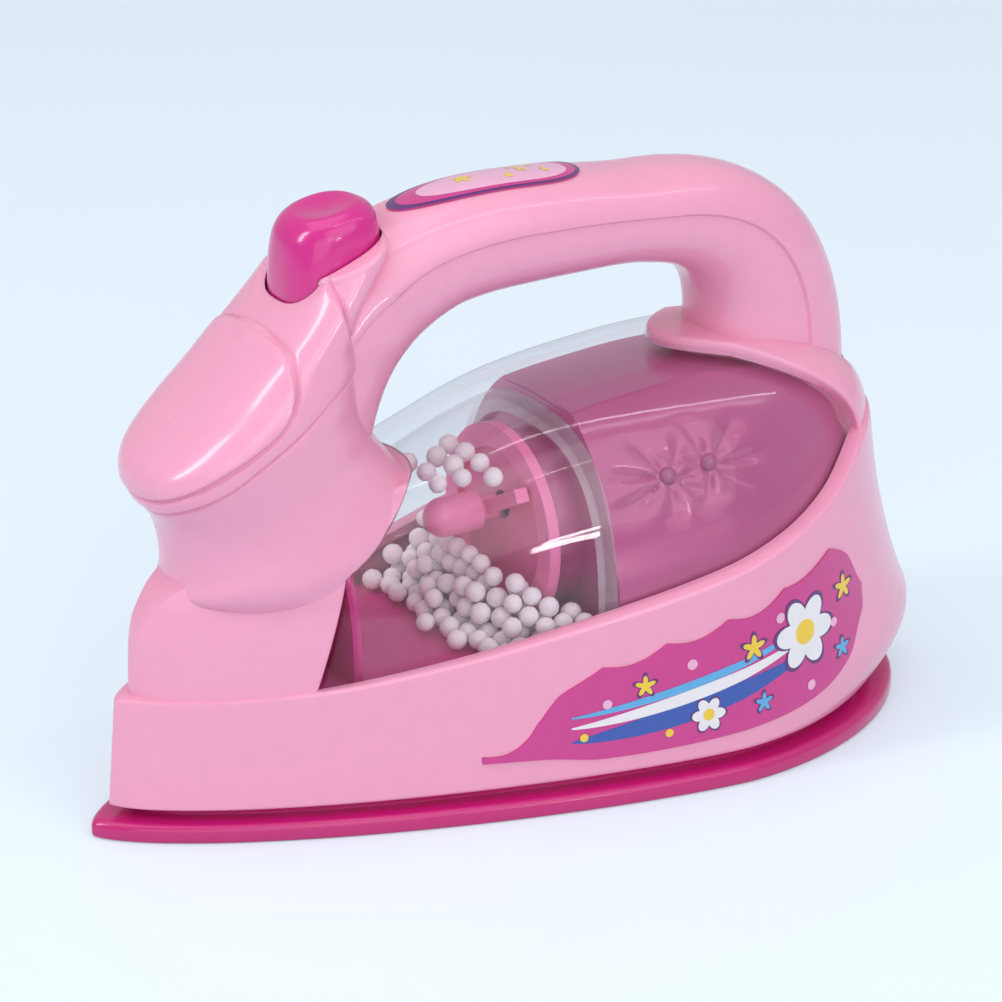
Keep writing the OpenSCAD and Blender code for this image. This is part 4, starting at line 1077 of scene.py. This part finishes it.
sh = Shell()
rings = [sole_ring(inset, SOLE_HEEL - inset, z) for inset, z in SOLE_EDGE]
rings += [sole_ring(UPSTAND_IN + inset, UPSTAND_HEEL - inset, z) for inset, z in UPSTAND]
sh.grid(rings, wrap_v=True).cap(rings[-1], flip=True)
holes = [door_room()]
for x, y in SOLE_BOSSES:
    for k in (-1, 1):
        holes.append([circle_z(x, k * y, z, SCREW_BORE, 32) for z in (0, SCREW_DEEP)])
for ring, deep in holes:
    sh.grid([ring, deep], wrap_v=True).cap(deep)
me = sh.mesh("sole_plate")
bm = bmesh.new()
bm.from_mesh(me)
rim = [e for e in bm.edges if e.is_boundary and all(abs(v.co.z) < 1e-6 for v in e.verts)]
bmesh.ops.triangle_fill(bm, use_beauty=True, use_dissolve=False, edges=rim)
bmesh.ops.recalc_face_normals(bm, faces=bm.faces)
bm.to_mesh(me)
bm.free()
put("sole_plate_moulding", smoothed(me), [m_sole], node="sole_plate")

# Labels: a film with sweeps, flowers, stars and dots, each print a little above the one below
FILM_TOP = 0.35
FILM_FOOT = 0.06
LABEL_SPAN = (-0.26, 0.69)
LOBES = 7
LOBE_DEEP = 1.4
SWEEPS = [(11.4, 7.5, 3.4, "blue", .03), (13.8, 8.0, 1.9, "white", .05), (15.6, 8.2, 1.2, "sky", .07)]
FLOWERS = [(37.5, 22.5, 6.3), (18, 12.6, 3.0)]
STARS = [(26.5, 22.6, 2.2, "yellow"), (47.2, 27.3, 2.1, "yellow"), (28.5, 12.6, 1.7, "sky"),
         (7.0, 19.4, 1.8, "yellow"), (46.5, 17.0, 1.7, "sky")]
DOTS = [(15.2, 21.8, .9, "rose"), (32.0, 26.4, .9, "rose"), (0.5, 17.2, .8, "rose"),
        (38.8, 12.8, .9, "rose"), (-3.5, 12.0, .7, "yellow"), (11.0, 10.6, .7, "yellow"),
        (44.5, 22.0, .8, "rose")]


def petals(a):
    return .62 + .38 * np.abs(np.cos(3 * a))


def star(a):
    return .70 + .30 * np.cos(5 * (a - math.pi / 2))


def dot(a):
    return 1 + 0 * a


class SideLabel(Shell):
    """The film on one side of the skirt, with its print at places x and z."""

    def __init__(self, side):
        super().__init__()
        self.side, self.turned = side, side < 0

    def on_skirt(self, x, z, lift):
        x, z = spread(x, z)
        return np.stack([x, self.side * (skirt_side(x, z) + lift), z], -1)

    def backing(self):
        x = np.linspace(LABEL_SPAN[0] * HALF, LABEL_SPAN[1] * HALF, 190)
        low = HIGH * curve(LABEL_LOW, x / HALF)
        lobe = LOBE_DEEP * np.abs(np.sin(LOBES * math.pi * (x / HALF)))
        high = HIGH * curve(LABEL_HIGH, x / HALF) - lobe
        k = np.concatenate([[0], np.linspace(0, 1, 30), [1]])
        z = low[:, None] + (high - low)[:, None] * k[None]
        lift = np.full(z.shape, FILM_TOP)
        lift[:, [0, -1]] = lift[[0, -1]] = FILM_FOOT
        self.grid(self.on_skirt(x[:, None], z, lift), flip=self.turned, mat=INK["magenta"])

    def sweep(self, z0, rise, wide, colour, up):
        s = np.linspace(0, 1, 60)
        x, z, w = -5.5 + 43.5 * s, z0 + rise * s ** 1.5, .25 + wide * np.sin(math.pi * s) ** .8
        d = unit(np.stack([np.gradient(x), np.gradient(z)], -1))
        rows = [self.on_skirt(x - d[:, 1] * w * j, z + d[:, 0] * w * j, FILM_TOP + up)
                for j in np.linspace(-.5, .5, 7)]
        self.grid(np.stack(rows, 1), flip=self.turned, mat=INK[colour])

    def blob(self, x, z, shape, size, colour, up, count=72):
        a = turn(count)
        r = size * shape(a)
        rings = [self.on_skirt(x + r * f * np.cos(a), z + r * f * np.sin(a), FILM_TOP + up)
                 for f in np.linspace(.02, 1, 7)]
        self.grid(rings, wrap_v=True, flip=not self.turned, mat=INK[colour])
        self.cap(rings[0], flip=self.turned, mat=INK[colour])


for side, name in ((-1, "side_label_left"), (1, "side_label_right")):
    sh = SideLabel(side)
    sh.backing()
    for sweep in SWEEPS:
        sh.sweep(*sweep)
    for x, z, size in FLOWERS:
        sh.blob(x, z, petals, size * 1.12, "violet", .09)
        sh.blob(x, z, petals, size, "white", .11)
        sh.blob(x, z, dot, size * .34, "yellow", .13)
    for x, z, size, colour in STARS:
        sh.blob(x, z, star, size * 1.3, "violet", .09)
        sh.blob(x, z, star, size, colour, .11)
    for x, z, size, colour in DOTS:
        sh.blob(x, z, dot, size, colour, .1, 32)
    put(name + "_film", sh.mesh(name, weld=1e-7), film, node=name)

GRIP_MID = 1.08
GRIP_SPAN = 0.38
GRIP_SPREAD = math.radians(25)
END_ANGLE = 0.12
GRIP_BANDS = [(1.0, FILM_TOP, "violet", 0), (.93, .38, "magenta", .06), (.78, .41, "rose", .06)]
GRIP_MARKS = [(-.45, .12, .13, True), (-.15, -.2, .09, False), (.12, .18, .15, True), (.42, -.1, .11, True),
              (.0, .42, .06, False), (.3, .36, .06, False)]


def on_grip(c, k, lift):
    """Point on the grip's top: c along the label and k across it, both from -1 to 1."""
    c, k = spread(c, k)
    return grip_pt(GRIP_MID + GRIP_SPAN * c, math.pi / 2 - GRIP_SPREAD * k, lift)


def grip_band(sh, size, lift, colour, trim):
    """One band of the handle label's print, and the film's edge round the widest."""
    c = -np.cos(np.linspace(END_ANGLE, math.pi - END_ANGLE, 60)) * size / math.cos(END_ANGLE)
    wide = np.sqrt(np.clip(1 - (np.abs(c) / size) ** 3, .0004, 1)) * (size - trim)
    sh.grid(on_grip(c[:, None], wide[:, None] * np.linspace(-1, 1, 25)[None], lift), mat=INK[colour])
    if not trim:
        edge = np.concatenate([np.stack([c, wide], -1), np.stack([c, -wide], -1)[::-1]])
        sh.grid([on_grip(edge[:, 0], edge[:, 1], up) for up in (.05, FILM_TOP)], wrap_v=True)


def grip_mark(sh, c, k, size, starry):
    a = turn(40)
    r = size * (.72 + .28 * np.cos(5 * a)) if starry else size + 0 * a
    rings = [on_grip(c + f * r * np.cos(a) * .55, k + f * r * np.sin(a) * 1.9, .45)
             for f in np.linspace(.02, 1, 6)]
    sh.grid(rings, wrap_v=True, mat=INK["yellow"]).cap(rings[0], mat=INK["yellow"])


sh = Shell()
for band in GRIP_BANDS:
    grip_band(sh, *band)
for mark in GRIP_MARKS:
    grip_mark(sh, *mark)
put("handle_label_film", sh.mesh("handle_label", weld=1e-7), film, node="handle_label")

# Finishes of pieces kept from the frame
FINISHES = [
    (m_rotor, ["face_disc", "stirrer"]),
    (m_sole, ["battery_door"]),
    (m_lamp, ["leds"]),
    (m_cell, ["battery_cells"]),
    (m_dark, ["motor_cradle", "switch_body", "switch_plunger"]),
    (m_board, ["circuit_board"]),
    (m_steel, ["battery_door_screw", "contact_springs", "contact_plates", "motor_shaft", "motor",
               "motor_screws", "housing_screws", "sole_screws"])]
for mat, names in FINISHES:
    for name in names:
        nodes[name].data.materials.clear()
        nodes[name].data.materials.append(mat)


# Floor, which glows a little where it is seen or mirrored
def floor_material():
    m, t = nodes_of("pale_floor")
    b = add(t, "BsdfPrincipled", Roughness=.55)
    cloud = ramp(t, noise(t, 3, 3), [(.3, (.55, .62, .69)), (.7, (.57, .64, .71))])
    t.links.new(cloud, b.inputs["Base Color"])
    path = add(t, "LightPath").outputs
    seen = sums(t, "MAXIMUM", path["Is Camera Ray"], path["Is Glossy Ray"])
    seen = sums(t, "MAXIMUM", seen, path["Is Transmission Ray"])
    glow = add(t, "Emission", Color=(.80, .93, 1.0, 1))
    t.links.new(sums(t, "MULTIPLY", seen, .36), glow.inputs["Strength"])
    both = add(t, "AddShader")
    t.links.new(b.outputs["BSDF"], both.inputs[0])
    t.links.new(glow.outputs["Emission"], both.inputs[1])
    surface(t, both.outputs["Shader"])
    return m


FLOOR_HALF = 3000
FLOOR_DROP = 0.05
span = (-FLOOR_HALF, 0, FLOOR_HALF)
sh = Shell().grid([[[x, y, -FLOOR_DROP] for y in span[::-1]] for x in span])
floor = placed("floor", sh.mesh("floor"))
floor.data.materials.append(floor_material())

# Light: a pale world and soft lamps, in metres and watts
world = bpy.data.worlds.new("studio")
scene.world = world
world.use_nodes = True
sky = world.node_tree.nodes["Background"]
sky.inputs["Color"].default_value = (.93, .95, 1.0, 1)
sky.inputs["Strength"].default_value = .52

MIDDLE = (0, 0, .05)
LAMPS = [
    ("key", (.05, -.72, .63), MIDDLE, (.9, .75), 2.35),
    ("fill", (-.45, -.75, .30), MIDDLE, (.7, .5), 1.1),
    ("top", (-.15, .1, .95), MIDDLE, (.7, .7), 1.6),
    ("left", (-.80, .10, .62), MIDDLE, (.14, .5), 2.4),
    ("strip", (.40, -.25, .86), (.40, 0, .05), (.9, .02), .6),
    ("glint", (.045, -.73, .235), (0, -.02, .044), (.10, .028), .30)]
for name, place, aim, size, watts in LAMPS:
    light = bpy.data.lights.new(name, "AREA")
    light.shape, light.size, light.size_y, light.energy = "RECTANGLE", size[0], size[1], watts
    lamp = placed(name, light)
    lamp.location = place
    lamp.rotation_euler = (Vector(aim) - Vector(place)).to_track_quat("-Z", "Y").to_euler()

# Camera, at the photograph's angle
CAMERA_AIM = Vector((-.0073, -.0101, .0470))
CAMERA_AWAY = 0.65
AZIMUTH = math.radians(-30.5)
ELEVATION = math.radians(22)
camera = bpy.data.cameras.new("camera")
camera.lens, camera.sensor_width, camera.sensor_fit = 144.8, 36.0, "HORIZONTAL"
camera.clip_start, camera.clip_end = .01, 50
eye = placed("camera", camera)
back = Vector((math.sin(AZIMUTH) * math.cos(ELEVATION), -math.cos(AZIMUTH) * math.cos(ELEVATION),
               math.sin(ELEVATION)))
eye.location = CAMERA_AIM + back * CAMERA_AWAY
eye.rotation_euler = (-back).to_track_quat("-Z", "Y").to_euler()
scene.camera = eye
scene.view_settings.view_transform = "Standard"
